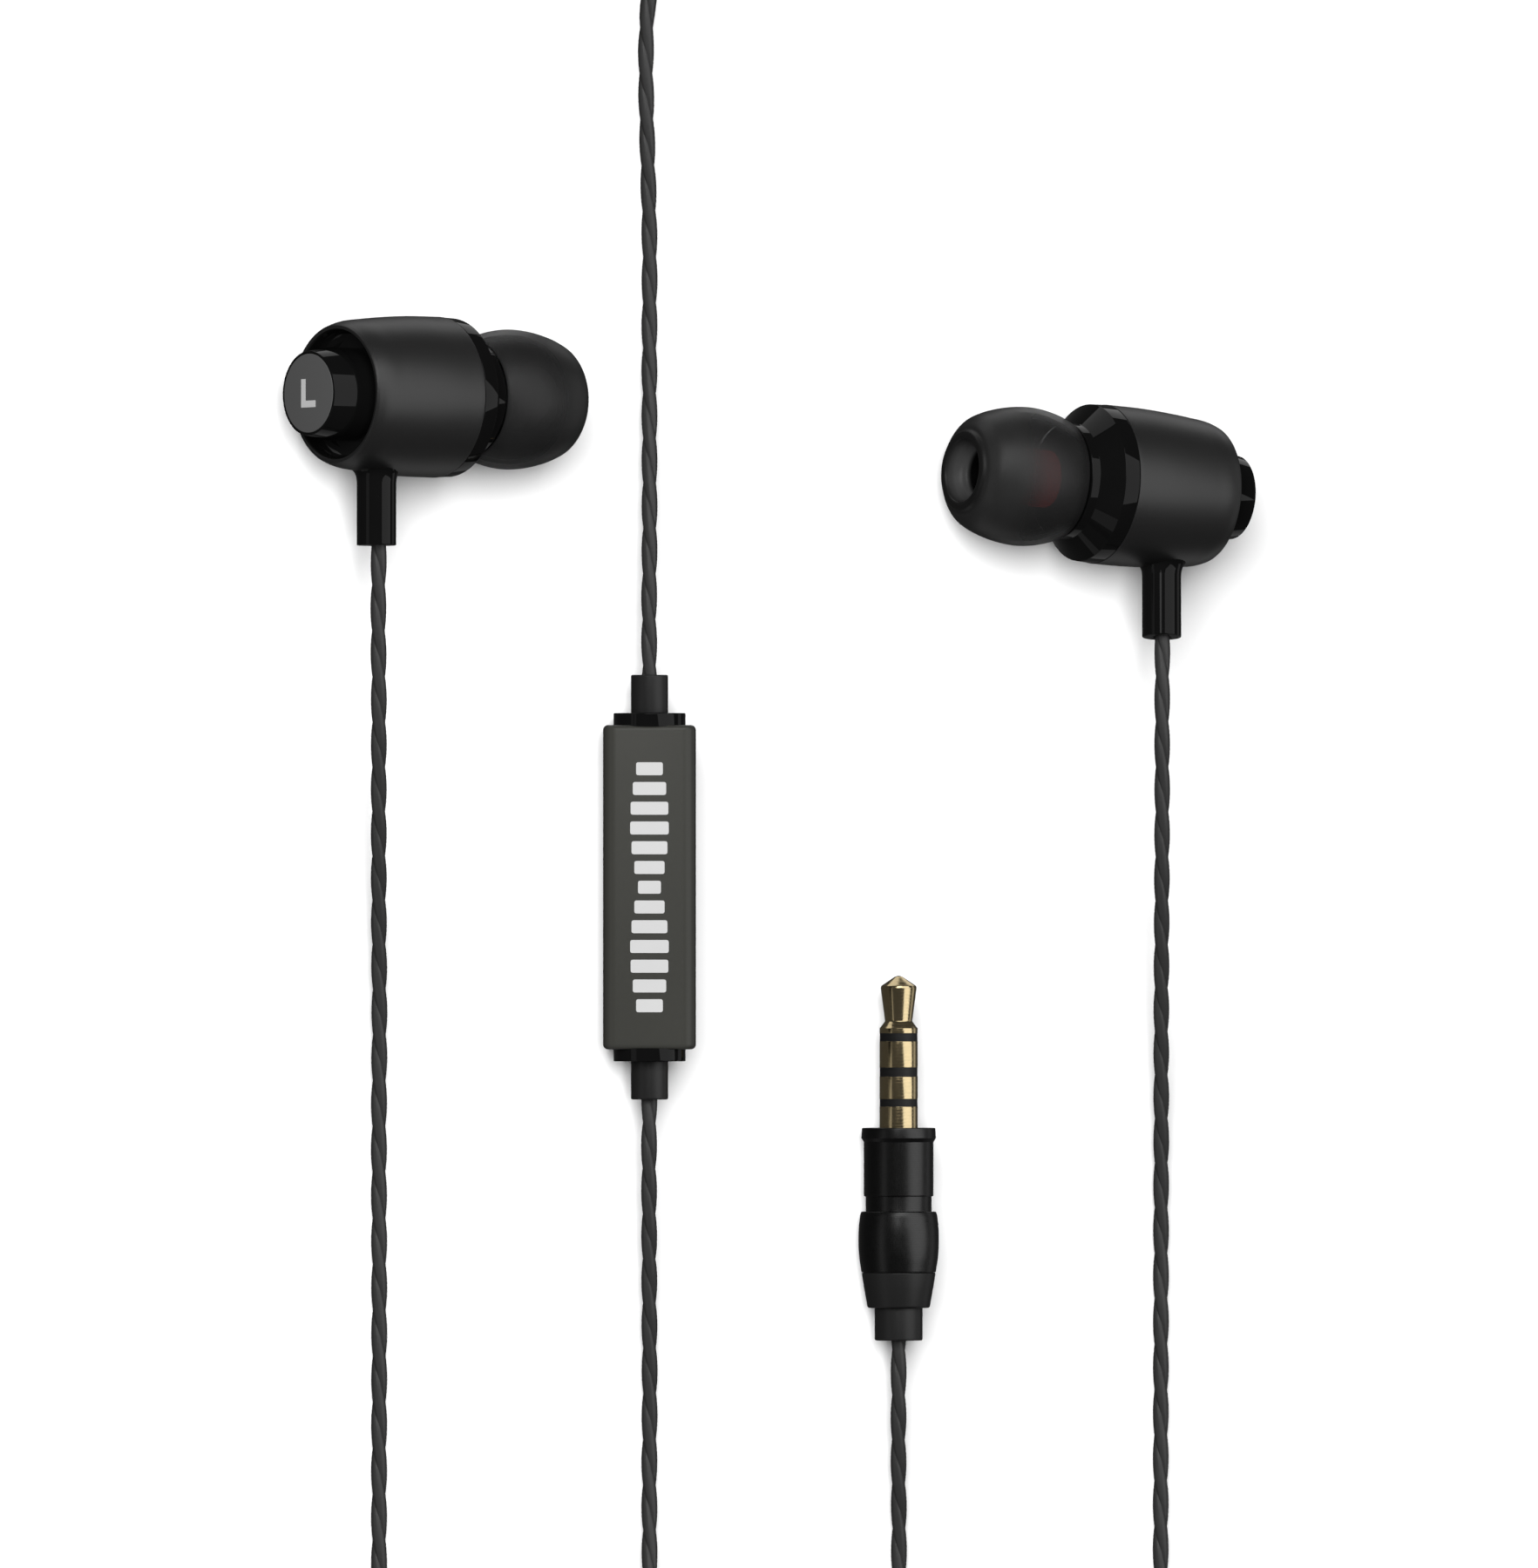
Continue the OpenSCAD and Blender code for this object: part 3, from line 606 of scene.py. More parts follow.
def earphone_matrix(side):
    """X along the earphone's axis towards the tip, Y away from the stem, origin on the stem's axis."""
    face, axis = mount(f"{side}_ear_tip_face")
    origin = face - axis * TIP_FACE * MM
    up = origin - middle(node_points(f"{side}_stem"))
    up = (up - axis * up.dot(axis)).normalized()
    return Matrix.Translation(origin) @ Matrix((axis, up, axis.cross(up))).transposed().to_4x4()


def stem_matrix(side):
    """X down the stem from the earphone's axis."""
    return turned(earphone_matrix(side), -90)


def remote_matrix():
    """Y along the remote, Z out of its flat face, origin in its middle."""
    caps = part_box("remote_cap_top")[1].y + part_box("remote_cap_bottom")[0].y
    neck = middle(node_points("remote_relief_top"))
    out = joint_axis("call_button_press")
    along = Vector((0, 1, 0))
    origin = Vector((neck.x, caps / 2, neck.z))
    return Matrix.Translation(origin) @ Matrix((along.cross(out), along, out)).transposed().to_4x4()


def plug_matrix():
    """X from the plug's tip back along its axis."""
    low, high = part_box("plug_tip")
    origin = Vector(((low.x + high.x) / 2, high.y, (low.z + high.z) / 2))
    return turned(Matrix.Translation(origin), -90)


def splitter_matrix():
    """Y along the splitter, origin at the end that the main cord leaves."""
    low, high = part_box("splitter")
    return Matrix.Translation(Vector(((low.x + high.x) / 2, high.y, (low.z + high.z) / 2)))


def turned(matrix, degrees):
    """The matrix turned about its own Z axis."""
    return matrix @ Matrix.Rotation(math.radians(degrees), 4, "Z")


def own_axis(matrix):
    """The way that the matrix's own X axis points."""
    return matrix.to_3x3() @ Vector((1, 0, 0))


def settings():
    return bpy.context.scene.earphones


# ---- Cords ----

# Routes of the stretches that are not coiled, in mm
LEFT_ROUTE = [
    (-43.9, -4.3, 8.05), (-43.95, -6.3, 8.1), (-44, -12, 8.1), (-43.6, -20, 7.6), (-42.3, -30, 5.7),
    (-40.7, -40, 3.4), (-39.4, -50, 1.6), (-38.9, -59, 0.8), (-38.8, -74, 0.7),
    (-38.8, -102, 0.7), (-38.8, -108, 0.8), (-38.8, -113, 1.1)]
LEFT_TAIL = [
    (-30, -122.3, 2.1), (-26, -122.3, 1.5), (-21, -122.3, 0.8), (-17, -122.1, 0.7), (-13.6, -120.7, 0.8),
    (-11.4, -118, 1.4), (-10.8, -115.2, 1.9), (-10.8, -113, 2)]
RIGHT_ROUTE = [
    (42.9, -12.6, 9.2), (42.7, -14.6, 9.5), (42.4, -21, 9.9), (42.9, -30, 9.2), (44.2, -40, 7.3),
    (46, -50, 4.7), (47.7, -60, 2.3), (48.6, -69, 1), (48.8, -77, 0.7),
    (48.8, -106, 0.7), (48.8, -111, 0.8), (48.8, -115.4, 1.1)]
RIGHT_TAIL = [
    (48.4, -115.4, 2.5), (48.3, -118.2, 1.9), (47.2, -121.5, 1.1), (44.6, -123.6, 0.8), (41, -124.3, 0.7),
    (0, -124.3, 0.7), (-4, -123.6, 0.7), (-7, -121.4, 0.9), (-8.3, -118.2, 1.4),
    (-8.4, -115.2, 1.9), (-8.4, -113, 2)]
REMOTE_ROUTE = [
    (-11.2, -54.7, 4.25), (-11.2, -56.8, 4.25), (-11.2, -61, 4.2), (-10.7, -68, 3.5), (-9.7, -76, 2.1),
    (-8.9, -84, 1), (-8.8, -91, 0.8), (-9.2, -97, 1.4), (-9.6, -101.4, 2), (-9.6, -103.4, 2)]
MAIN_ROUTE = [
    (-11.2, -20, 4.25), (-11.2, -18, 4.25), (-11.2, -13, 4.2), (-10.8, -6, 3.7), (-9.9, 3, 2.4),
    (-9, 12, 1.1), (-8.7, 20, 0.7), (-8.7, 44.4, 0.7), (-7.6, 48.1, 0.7),
    (-4.4, 50.1, 0.7), (0, 50.5, 0.7), (88, 50.5, 0.7), (92.6, 49.2, 0.7),
    (95, 45.6, 0.7), (95.2, 41, 0.7), (95.2, -94, 0.7), (94.2, -98.8, 0.7),
    (91.4, -102.2, 0.7), (87, -103.6, 0.7), (64, -103.6, 0.7), (56, -103.6, 1.4), (48.8, -103.6, 2.3),
    (44.4, -104.2, 2), (40.6, -106.2, 1.5), (38.4, -109.2, 1.4), (37.8, -112.5, 1.5)]
PLUG_ROUTE = [
    (19, -112.5, 2.1), (19.1, -107, 1.4), (19.2, -101, 0.8), (18.9, -96, 1.2), (18, -90, 2.4),
    (17.3, -84.5, 3.4), (17.1, -79.2, 3.7), (17.1, -77, 3.7)]

# Coils: centre, mean radius, strands round the bundle, turns, start angle, which way it turns, and
# where in the bundle the first turn lies, in degrees from the outside
LEFT_COIL = {"at": (-30, -113), "r": 8.1, "lay": 5, "turns": 4.25, "start": 180, "way": 1, "first": -54}
RIGHT_COIL = {"at": (56.5, -115.4), "r": 7.0, "lay": 5, "turns": 4, "start": 180, "way": 1, "first": -54}
PLUG_COIL = {"at": (28.6, -112.5), "r": 7.7, "lay": 7, "turns": 6.5, "start": 0, "way": -1, "first": -40}

# The pieces that each lead carries
ON_LEFT_LEAD = ("y_piece", "y_piece_sleeve")
ON_REMOTE_LEAD = (
    "remote_sleeve", "remote_level_bars", "remote_end_top", "remote_end_bottom", "remote_sleeve_top",
    "remote_sleeve_bottom", "remote_button", "remote_board", "remote_switch", "remote_microphone")
ON_MAIN_LEAD = (
    "tip_contact", "front_contact", "rear_contact", "sleeve_contact", "contact_bands", "grip_front",
    "grip_rear", "rubber_boot", "plug_strain_sleeve", "coil_ties")

# The ties' thickness and width in mm, and where each starts round its coil, in degrees
TIE_T, TIE_W = 0.2, 3.0
TIES = ((LEFT_COIL, 20), (RIGHT_COIL, 0), (PLUG_COIL, 80))


def lay_radius(coil, diameter):
    """How far the strands lie from the middle of the bundle, in mm."""
    return diameter / (2 * math.sin(math.pi / coil["lay"]))


def coil_height(coil, diameter):
    """How far the middle of a coil's bundle lies above the floor, in mm: the bundle and its tie."""
    return lay_radius(coil, diameter) + diameter / 2 + TIE_T


def coil_path(coil, diameter, step=0.6):
    """The centre line of a coil whose turns lie side by side round its bundle, in mm."""
    rho = lay_radius(coil, diameter)
    count = round(coil["turns"] * 2 * math.pi * coil["r"] / step)
    points = []
    for k in range(count + 1):
        turn = coil["turns"] * k / count
        a = math.radians(coil["start"] + coil["way"] * 360 * turn)
        b = math.radians(coil["first"] - 360 / coil["lay"] * turn)
        r = coil["r"] + rho * math.cos(b)
        z = coil_height(coil, diameter) + rho * math.sin(b)
        points.append(Vector((coil["at"][0] + r * math.cos(a), coil["at"][1] + r * math.sin(a), z)))
    return points


def smooth_route(points):
    return curve_through(points, 14)


def joined(*stretches):
    """One path from stretches that meet end to end, in metres."""
    path = []
    for stretch in stretches:
        for point in stretch:
            spot = Vector(point) * MM
            if not path or (spot - path[-1]).length > 0.2 * MM:
                path.append(spot)
    return path


def evenly(path, step):
    """The same path with points at an even step."""
    lengths = [0.0]
    for first, second in zip(path, path[1:]):
        lengths.append(lengths[-1] + (second - first).length)
    count = max(2, round(lengths[-1] / step))
    result, i = [], 0
    for k in range(count + 1):
        want = lengths[-1] * k / count
        while i < len(path) - 2 and lengths[i + 1] < want:
            i += 1
        t = (want - lengths[i]) / max(lengths[i + 1] - lengths[i], 1e-12)
        result.append(path[i].lerp(path[i + 1], t))
    return result, lengths[-1]


def twisted_outline(radius, sides):
    """The cord's section: two rounded lobes with a narrow groove on each side."""
    valley, lobe, sharp = 0.72, 0.33, 0.6
    points = []
    for k in range(sides):
        a = 2 * math.pi * k / sides
        points.append((a, radius * (valley + lobe * abs(math.cos(a)) ** sharp)))
    return points


def twisted_cord(name, path, material):
    """A cord of two twisted strands along a path in metres. Gives the piece, its line and its length."""
    sizes = settings().cord
    even, length = evenly(path, sizes.ring_step)
    section = twisted_outline(sizes.diameter / 2, sizes.sides)

    def outline_at(distance):
        turn = 2 * math.pi * distance / sizes.lay
        return [(r * math.cos(a + turn), r * math.sin(a + turn)) for a, r in section]

    bm = bmesh.new()
    sweep_into(bm, even, outline_at)
    piece = finish_mesh(bm, name, material, 50)
    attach(piece, ROOT)
    return piece, even[::3] + [even[-1]], length


# ---- Operators ----


class EARPHONES_OT_stage(bpy.types.Operator):
    """Make the camera, the floor and the lights"""

    bl_idname = "earphones.stage"
    bl_label = "Stage"

    def execute(self, context):
        stage = settings().stage
        scene = context.scene
        aim = Vector(stage.aim)
        self.camera(scene, stage, aim)
        self.floor(stage, aim)
        self.lights()
        self.world(scene, stage)
        scene.view_settings.view_transform = "Standard"
        return {"FINISHED"}

    def camera(self, scene, stage, aim):
        data = bpy.data.cameras.new("camera")
        data.sensor_width = 36
        data.lens = data.sensor_width * stage.distance / stage.view_height
        data.clip_start, data.clip_end = 0.05, 50
        camera = bpy.data.objects.new("camera", data)
        camera.rotation_euler = (0, -stage.tilt, 0)
        back = Vector((-math.sin(stage.tilt), 0, math.cos(stage.tilt)))
        camera.location = aim + back * stage.distance
        scene.collection.objects.link(camera)
        scene.camera = camera

    def floor(self, stage, aim):
        bm = bmesh.new()
        bmesh.ops.create_grid(bm, x_segments=1, y_segments=1, size=3)
        mesh = bpy.data.meshes.new("floor")
        bm.to_mesh(mesh)
        bm.free()
        floor = bpy.data.objects.new("floor", mesh)
        floor.location = (aim.x, aim.y, -0.02 * MM)
        bpy.context.scene.collection.objects.link(floor)
        f = Finish("floor_paint", specular_ior_level=0.1, roughness=0.8)
        f.feed("Base Color", f.blend(f.noise(0.3, 2), [c * 0.985 for c in stage.floor], stage.floor))
        mesh.materials.append(f.material)
        floor.visible_glossy = floor.visible_diffuse = False

    def area(self, name, at, size, brightness, mirrored=True):
        """A softbox that faces the aim. A mirrored one only shows in gloss, and the other only lights."""
        data = bpy.data.lights.new(name, "AREA")
        data.shape = "RECTANGLE"
        data.size, data.size_y = size
        data.energy = brightness * math.pi * size[0] * size[1]
        lamp = bpy.data.objects.new(name, data)
        lamp.location = Vector(settings().stage.aim) + Vector(at)
        lamp.rotation_euler = (-Vector(at)).to_track_quat("-Z", "Y").to_euler()
        lamp.visible_glossy = mirrored
        lamp.visible_diffuse = not mirrored
        lamp.visible_camera = False
        bpy.context.scene.collection.objects.link(lamp)

    def lights(self):
        """A wide light behind the camera, and softboxes that the gloss parts mirror."""
        self.area("main_box", (-0.86, 0.3, 1.2), (1.0, 1.0), 16, mirrored=False)
        self.area("key_box", (0.29, 0.2, 0.94), (1.4, 0.95), 1.25)
        self.area("strip_box", (-0.42, 0.5, 0.72), (0.8, 0.34), 2.4)
        self.area("back_box", (0.2, 0.85, -0.5), (1.9, 0.5), 0.8)
        self.area("front_box", (0.2, -0.85, -0.5), (1.9, 0.5), 0.3)
        self.area("left_box", (-0.95, -0.1, 0.05), (1.2, 0.3), 0.4)
        self.area("right_box", (0.9, 0, 0.2), (1.0, 0.3), 0.4)

    def world(self, scene, stage):
        world = bpy.data.worlds.new("even_light")
        world.use_nodes = True
        back = world.node_tree.nodes["Background"]
        back.inputs["Color"].default_value = (1, 1, 1, 1)
        back.inputs["Strength"].default_value = stage.world
        scene.world = world


class EARPHONES_OT_cords(bpy.types.Operator):
    """Lay the four lengths of twisted cord, with their coils and ties"""

    bl_idname = "earphones.cords"
    bl_label = "Cords"

    def execute(self, context):
        sheath = cord_sheath("cord_sheath", settings().colours.cord)
        size = settings().cord.diameter / MM
        self.ties(size)
        self.lead("left_lead", sheath, ("left_cord", "left_coil"),
                  joined(smooth_route(LEFT_ROUTE), coil_path(LEFT_COIL, size), smooth_route(LEFT_TAIL)),
                  "object", "coiled", ON_LEFT_LEAD)
        self.lead("right_lead", sheath, ("right_cord", "right_coil"),
                  joined(smooth_route(RIGHT_ROUTE), coil_path(RIGHT_COIL, size), smooth_route(RIGHT_TAIL)),
                  "object", "coiled")
        self.lead("remote_lead", sheath, ("remote_cord",), joined(smooth_route(REMOTE_ROUTE))[::-1],
                  "object", "loose", ON_REMOTE_LEAD)
        self.lead("main_lead", sheath, ("plug_cord", "plug_coil"),
                  joined(smooth_route(MAIN_ROUTE), coil_path(PLUG_COIL, size), smooth_route(PLUG_ROUTE)),
                  "plug", "coiled", ON_MAIN_LEAD)
        return {"FINISHED"}

    def lead(self, name, sheath, replaced, path, far_end, lay, on_it=()):
        piece, line, length = twisted_cord(name, path, sheath)
        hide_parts(*replaced)

    def ties(self, diameter):
        tape = woven("tie_tape", grey(0.02))
        bm = bmesh.new()
        for coil, start in TIES:
            self.tie_into(bm, coil, start, diameter)
        piece = finish_mesh(bm, "coil_ties", tape, 40)
        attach(piece, ROOT)
        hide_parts("cord_ties")

    def tie_into(self, bm, coil, start, diameter):
        """A soft band round the bundle, over a few degrees of the coil."""
        outer = coil_height(coil, diameter)
        inner = outer - TIE_T * 0.8
        sweep = TIE_W / coil["r"]
        sides, edge = 40, 0.25
        profile = [(inner, 0), (outer - 0.05, 0), (outer, edge), (outer, TIE_W - edge), (outer - 0.05, TIE_W),
                   (inner, TIE_W)]
        for ring_pair in zip(profile, profile[1:] + profile[:1]):
            strip = []
            for radius, along in ring_pair:
                a = math.radians(start) + sweep * along / TIE_W
                row = []
                for k in range(sides):
                    b = 2 * math.pi * k / sides
                    r = coil["r"] + radius * math.cos(b)
                    spot = Vector((coil["at"][0] + r * math.cos(a), coil["at"][1] + r * math.sin(a),
                                   outer + radius * math.sin(b)))
                    row.append(bm.verts.new(spot * MM))
                strip.append(row)
            wall_into(bm, *strip)


class EARPHONES_OT_housings(bpy.types.Operator):
    """Make each earphone's shell, dish, cap, cap disc and side letter"""

    bl_idname = "earphones.housings"
    bl_label = "Housings"

    def execute(self, context):
        sizes, colours = settings().earphone, settings().colours
        satin = satin_plastic("housing_satin", colours.housing, 0.41, gloss=0.72)
        gloss = gloss_plastic("polished_black", colours.gloss)
        ink = satin_plastic("mark_ink", colours.mark, 0.5)
        for side in SIDES:
            matrix = earphone_matrix(side)
            self.shell(side, matrix, sizes, satin)
            self.dish(side, matrix, sizes, gloss)
            self.cap(side, matrix, sizes, gloss)
            self.disc(side, matrix, sizes, colours, ink)
            self.stem(side, sizes, gloss)
        return {"FINISHED"}

    def shell(self, side, matrix, s, material):
        grow = s.housing_r - s.housing_rear_r
        flank = curve_through(
            [(s.housing_rear_r - 0.25, -4.6), (s.housing_rear_r, -3.9),
             (s.housing_rear_r + grow * 0.43, -1.8), (s.housing_rear_r + grow * 0.64, -0.3),
             (s.housing_r - 0.03, 3.2), (s.housing_r, 6.4)], 8)
        outline = [(s.lip_r, -4.78, 0.08), (s.lip_r + 0.3, -4.8, 0.12)]
        outline += flank
        outline += [(s.housing_r, 6.88, 0.06), (6.4, 6.88), (6.4, -1.9), (6.2, -1.9), (6.2, -4.5),
                    (s.lip_r, -4.5)]
        piece = lathe(f"{side}_shell", outline, matrix, material, 160)
        dress(piece, ROOT, "housing_black", f"{side}_housing")

    def dish(self, side, matrix, s, material):
        floor, back = DISH_FLOOR, -4.52
        wall = s.lip_r - 0.06
        outline = [(1.62, floor + 0.6), (6.17, floor + 0.6), (6.17, back), (wall, back)]
        outline += [(wall - 0.85 + 0.85 * math.cos(a), floor - 0.85 + 0.85 * math.sin(a))
                    for a in [math.radians(d) for d in range(0, 91, 10)]]
        outline += [(1.62, floor)]
        piece = lathe(f"{side}_dish", outline, matrix, material, 160)
        dress(piece, ROOT, "gloss_black", f"{side}_recess_cup")

    def cap(self, side, matrix, s, material):
        face, seat = CAP_FACE, DISH_FLOOR
        outline = [(0, face + 0.35), (s.face_r - 0.22, face + 0.35), (s.face_r - 0.22, face + 0.02, 0.02),
                   (s.face_r, face, 0.07), (s.cap_r, -5.4, 0.06), (s.cap_r, seat), (1.57, seat),
                   (1.57, seat + 1.8, 0.1), (0, seat + 1.8)]
        piece = lathe(f"{side}_back_cap", outline, matrix, material, 160)
        dress(piece, ROOT, "gloss_black", f"{side}_cap")

    def disc(self, side, matrix, s, colours, ink):
        face = CAP_FACE
        origin = matrix @ Vector((face * MM, 0, 0))
        metal = spun_metal(f"{side}_cap_face", colours.cap_face, 0.42, own_axis(matrix), origin)
        outline = [(0, face), (s.face_r - 0.25, face, 0.03), (s.face_r - 0.25, face + 0.35), (0, face + 0.35)]
        piece = lathe(f"{side}_face_disc", outline, matrix, metal, 128)
        dress(piece, ROOT, "cap_grey", f"{side}_cap_disc")
        letter = side_letter(side, matrix, face, ink)
        dress(letter, ROOT, "cap_grey")

    def stem(self, side, s, material):
        root = curve_through([(s.stem_r + 0.5, 6.75), (s.stem_r + 0.26, 7.0), (s.stem_r + 0.08, 7.4),
                              (s.stem_r, 8.0)], 5)
        outline = [(0.75, 5.4), (2.2, 5.4), (2.2, 6.0), (s.stem_r, 6.0), *root,
                   (s.stem_r, 13.7, 0.12), (0.95, 13.7, 0.05), (0.75, 13.5)]
        piece = lathe(f"{side}_strain_stem", outline, stem_matrix(side), material, 96)
        dress(piece, ROOT, "gloss_black", f"{side}_stem")


def dress(piece, body, slot, *replaced):
    """Puts a piece on its body and hides the CAD nodes it stands for. The slot, the name of its finish, is not
    used.
    """
    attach(piece, body)
    if replaced:
        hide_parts(*replaced)


def side_letter(side, matrix, face, material):
    """A bold L or R, as a thin printed shape on the cap's face."""
    w, h, t = 1.05, 1.3, 0.62
    if side == "left":
        shapes = [[(-w, h), (-w + t, h), (-w + t, -h + t), (w, -h + t), (w, -h), (-w, -h)]]
    else:
        bowl_r, bowl_t, root = 0.74, 0.42, -w + t - 0.02
        outer = arc((w - bowl_r, h - bowl_r), bowl_r, 90, -90, 14)
        inner = arc((w - bowl_r, h - bowl_r), bowl_r - bowl_t, -90, 90, 12)
        shapes = [
            [(-w, h), (-w + t, h), (-w + t, -h), (-w, -h)],
            [(root, h), *outer, (root, h - 2 * bowl_r), (root, h - 2 * bowl_r + bowl_t), *inner,
             (root, h - bowl_t)],
            [(-0.2, h - 2 * bowl_r + 0.02), (0.45, h - 2 * bowl_r + 0.02), (w + 0.05, -h), (w - 0.6, -h)],
        ]
    bm = bmesh.new()
    for shape in shapes:
        rows = [[matrix @ (Vector((depth, y, z)) * MM) for z, y in shape]
                for depth in (face + INK_T, face - INK_T)]
        slab_into(bm, *rows)
    bmesh.ops.triangulate(bm, faces=[f for f in bm.faces if len(f.verts) > 4])
    return finish_mesh(bm, f"{side}_letter", material)


class EARPHONES_OT_nozzles(bpy.types.Operator):
    """Make each earphone's gloss front, nozzle, channel ring, mesh and driver finishes"""

    bl_idname = "earphones.nozzles"
    bl_label = "Nozzles and drivers"

    def execute(self, context):
        sizes, colours = settings().earphone, settings().colours
        gloss = bpy.data.materials["polished_black"]
        # The red ring glows with a little painted light of its own, so that it shows through the silicone
        paint, painted_glow = 0.45, 0.8
        rings = {
            "left": satin_plastic("channel_dark", grey(0.02), 0.4),
            "right": satin_plastic("channel_red", [c * paint for c in colours.channel], 0.3),
        }
        red = rings["right"].node_tree.nodes["Principled BSDF"].inputs
        # Painted glow: the ring gives off red light, though it is no lamp
        red["Emission Color"].default_value = (*colours.channel, 1)
        red["Emission Strength"].default_value = painted_glow
        steel = plain_metal("driver_steel", grey(0.55), 0.28)
        film = satin_plastic("driver_film", (0.5, 0.42, 0.25), 0.25)
        dark = satin_plastic("inner_plastic", grey(0.004), 0.5)
        board = solder_mask("board_mask", (0.02, 0.12, 0.05))
        wire = plain_metal("mesh_wire", grey(0.35), 0.3)
        for side in SIDES:
            matrix = earphone_matrix(side)
            self.cover(side, matrix, sizes, gloss)
            self.ring(side, matrix, sizes, rings[side])
            self.mesh(side, matrix, wire)
            copper = wound_wire(f"{side}_coil_wire", (0.6, 0.25, 0.1), own_axis(matrix), matrix.translation)
            for node, material in (("driver_yoke", steel), ("driver_magnet", steel), ("diaphragm", film),
                                   ("driver_frame", dark), ("driver_board", board), ("voice_coil", copper)):
                set_finish(f"{side}_{node}", material)
        return {"FINISHED"}

    def cover(self, side, matrix, s, material):
        groove = s.nozzle_r - GROOVE_DEPTH
        outline = [(5.6, 4.9), (6.37, 4.9), (6.37, 6.9), (s.housing_r - 0.03, 6.92, 0.07),
                   (s.housing_r - 0.1, 8.4, 0.08), (s.neck_r + 0.05, 10.0, 0.06), (s.neck_r, 10.85, 0.12),
                   (s.nozzle_r, 10.85, 0.15), (s.nozzle_r, GROOVE_START), (groove, GROOVE_START),
                   (groove, GROOVE_END), (s.nozzle_r, GROOVE_END), (s.nozzle_r, 17.5, 0.2),
                   (2.1, 17.5, 0.05), (2.1, 17.15), (s.sound_r, 17.15), (s.sound_r, 10.2), (5.6, 8.4)]
        piece = lathe(f"{side}_front", outline, matrix, material, 160)
        dress(piece, ROOT, "gloss_black", f"{side}_nozzle_cover")

    def ring(self, side, matrix, s, material):
        inner, gap, fillet = s.nozzle_r - GROOVE_DEPTH, 0.02, 0.04
        start, end = GROOVE_START + gap, GROOVE_END - gap
        outline = [(inner, start), (s.nozzle_r, start, fillet), (s.nozzle_r, end, fillet), (inner, end)]
        piece = lathe(f"{side}_channel_ring", outline, matrix, material, 96)
        piece.visible_diffuse = piece.visible_glossy = False
        dress(piece, ROOT, "ring_dark" if side == "left" else "ring_red", f"{side}_nozzle_ring")

    def mesh(self, side, matrix, material):
        """Two layers of fine wire that pass over and under each other, in a thin rim."""
        radius, wire_r, pitch = 2.02, 0.045, 0.24
        middle_u, rim = 17.28, 0.08
        bm = bmesh.new()
        lathe_into(bm, [(radius - 0.1, middle_u - rim), (radius + 0.05, middle_u - rim),
                        (radius + 0.05, middle_u + rim), (radius - 0.1, middle_u + rim)], matrix, 64)
        rows = int(radius / pitch)
        for across in (0, 1):
            for k in range(-rows, rows + 1):
                offset = k * pitch
                reach = math.sqrt(max(radius ** 2 - offset ** 2, 0)) - 0.02
                steps = max(4, int(reach * 2 / (pitch / 3)))
                path = []
                for i in range(steps + 1):
                    t = -reach + 2 * reach * i / steps
                    lift = wire_r * math.cos(math.pi * (t / pitch + k + across))
                    spot = (middle_u + lift, offset, t) if across else (middle_u + lift, t, offset)
                    path.append(matrix @ (Vector(spot) * MM))
                circle = [(wire_r * MM * math.cos(a), wire_r * MM * math.sin(a))
                          for a in [2 * math.pi * j / 6 for j in range(6)]]
                sweep_into(bm, path, lambda distance: circle, own_axis(matrix))
        piece = finish_mesh(bm, f"{side}_sound_mesh", material)
        dress(piece, ROOT, "mesh_steel", f"{side}_nozzle_mesh")


def set_finish(node, material):
    """Gives a CAD piece that is shown as it is its finish."""
    piece = frame["nodes"][node]
    piece.data.materials.clear()
    piece.data.materials.append(material)


class EARPHONES_OT_tips(bpy.types.Operator):
    """Make the silicone ear tips"""

    bl_idname = "earphones.tips"
    bl_label = "Ear tips"

    def execute(self, context):
        s, colours = settings().earphone, settings().colours
        for side in SIDES:
            matrix = earphone_matrix(side)
            smoke = silicone(f"{side}_silicone", colours.silicone, own_axis(matrix), matrix.translation,
                             sleeve_r=3.2 * MM, dome_alpha=0.75, sleeve_alpha=0.15)
            piece = lathe(f"{side}_tip", self.outline(s), matrix, smoke, 160, smooth_angle=60)
            dress(piece, f"{side}_tip", "silicone", f"{side}_ear_tip")
        return {"FINISHED"}

    def outline(self, s):
        """The tip's section in mm: the dome, back inside the skirt, then the sleeve and the mouth."""
        back, length = 11.05, 10.75
        dome = [(0.5, 1.0), (0.56, 0.992), (0.605, 0.962), (0.66, 0.948), (0.715, 0.925), (0.785, 0.885),
                (0.875, 0.78), (0.95, 0.63), (0.992, 0.48), (1, 0.37), (0.97, 0.22), (0.91, 0.09),
                (0.86, 0.02)]
        inside = [(0.79, 0.02), (0.84, 0.1), (0.9, 0.23), (0.925, 0.37), (0.915, 0.48), (0.875, 0.62),
                  (0.8, 0.75), (0.7, 0.84), (0.62, 0.87), (0.53, 0.85)]
        outer = curve_through([(r * s.tip_r, back + u * length) for r, u in dome], 6)
        under = curve_through([(r * s.tip_r, back + u * length) for r, u in inside], 5)
        sleeve = s.nozzle_r + 0.025
        mouth = curve_through([(2.03, 19.6), (2.1, 19.85), (2.45, 20.15), (2.72, 20.8), (2.84, 21.4),
                               (2.95, 21.7), (3.2, 21.8)], 5)
        rest = [(sleeve + 0.5, back + 0.8 * length), (sleeve + 0.5, 11.75, 0.2), (sleeve, 11.75, 0.1),
                (sleeve, 17.6), (1.85, 17.6), (2.0, 19.3)]
        return [*outer, (5.25, back, 0.1), *under, *rest, *mouth[:-1]]


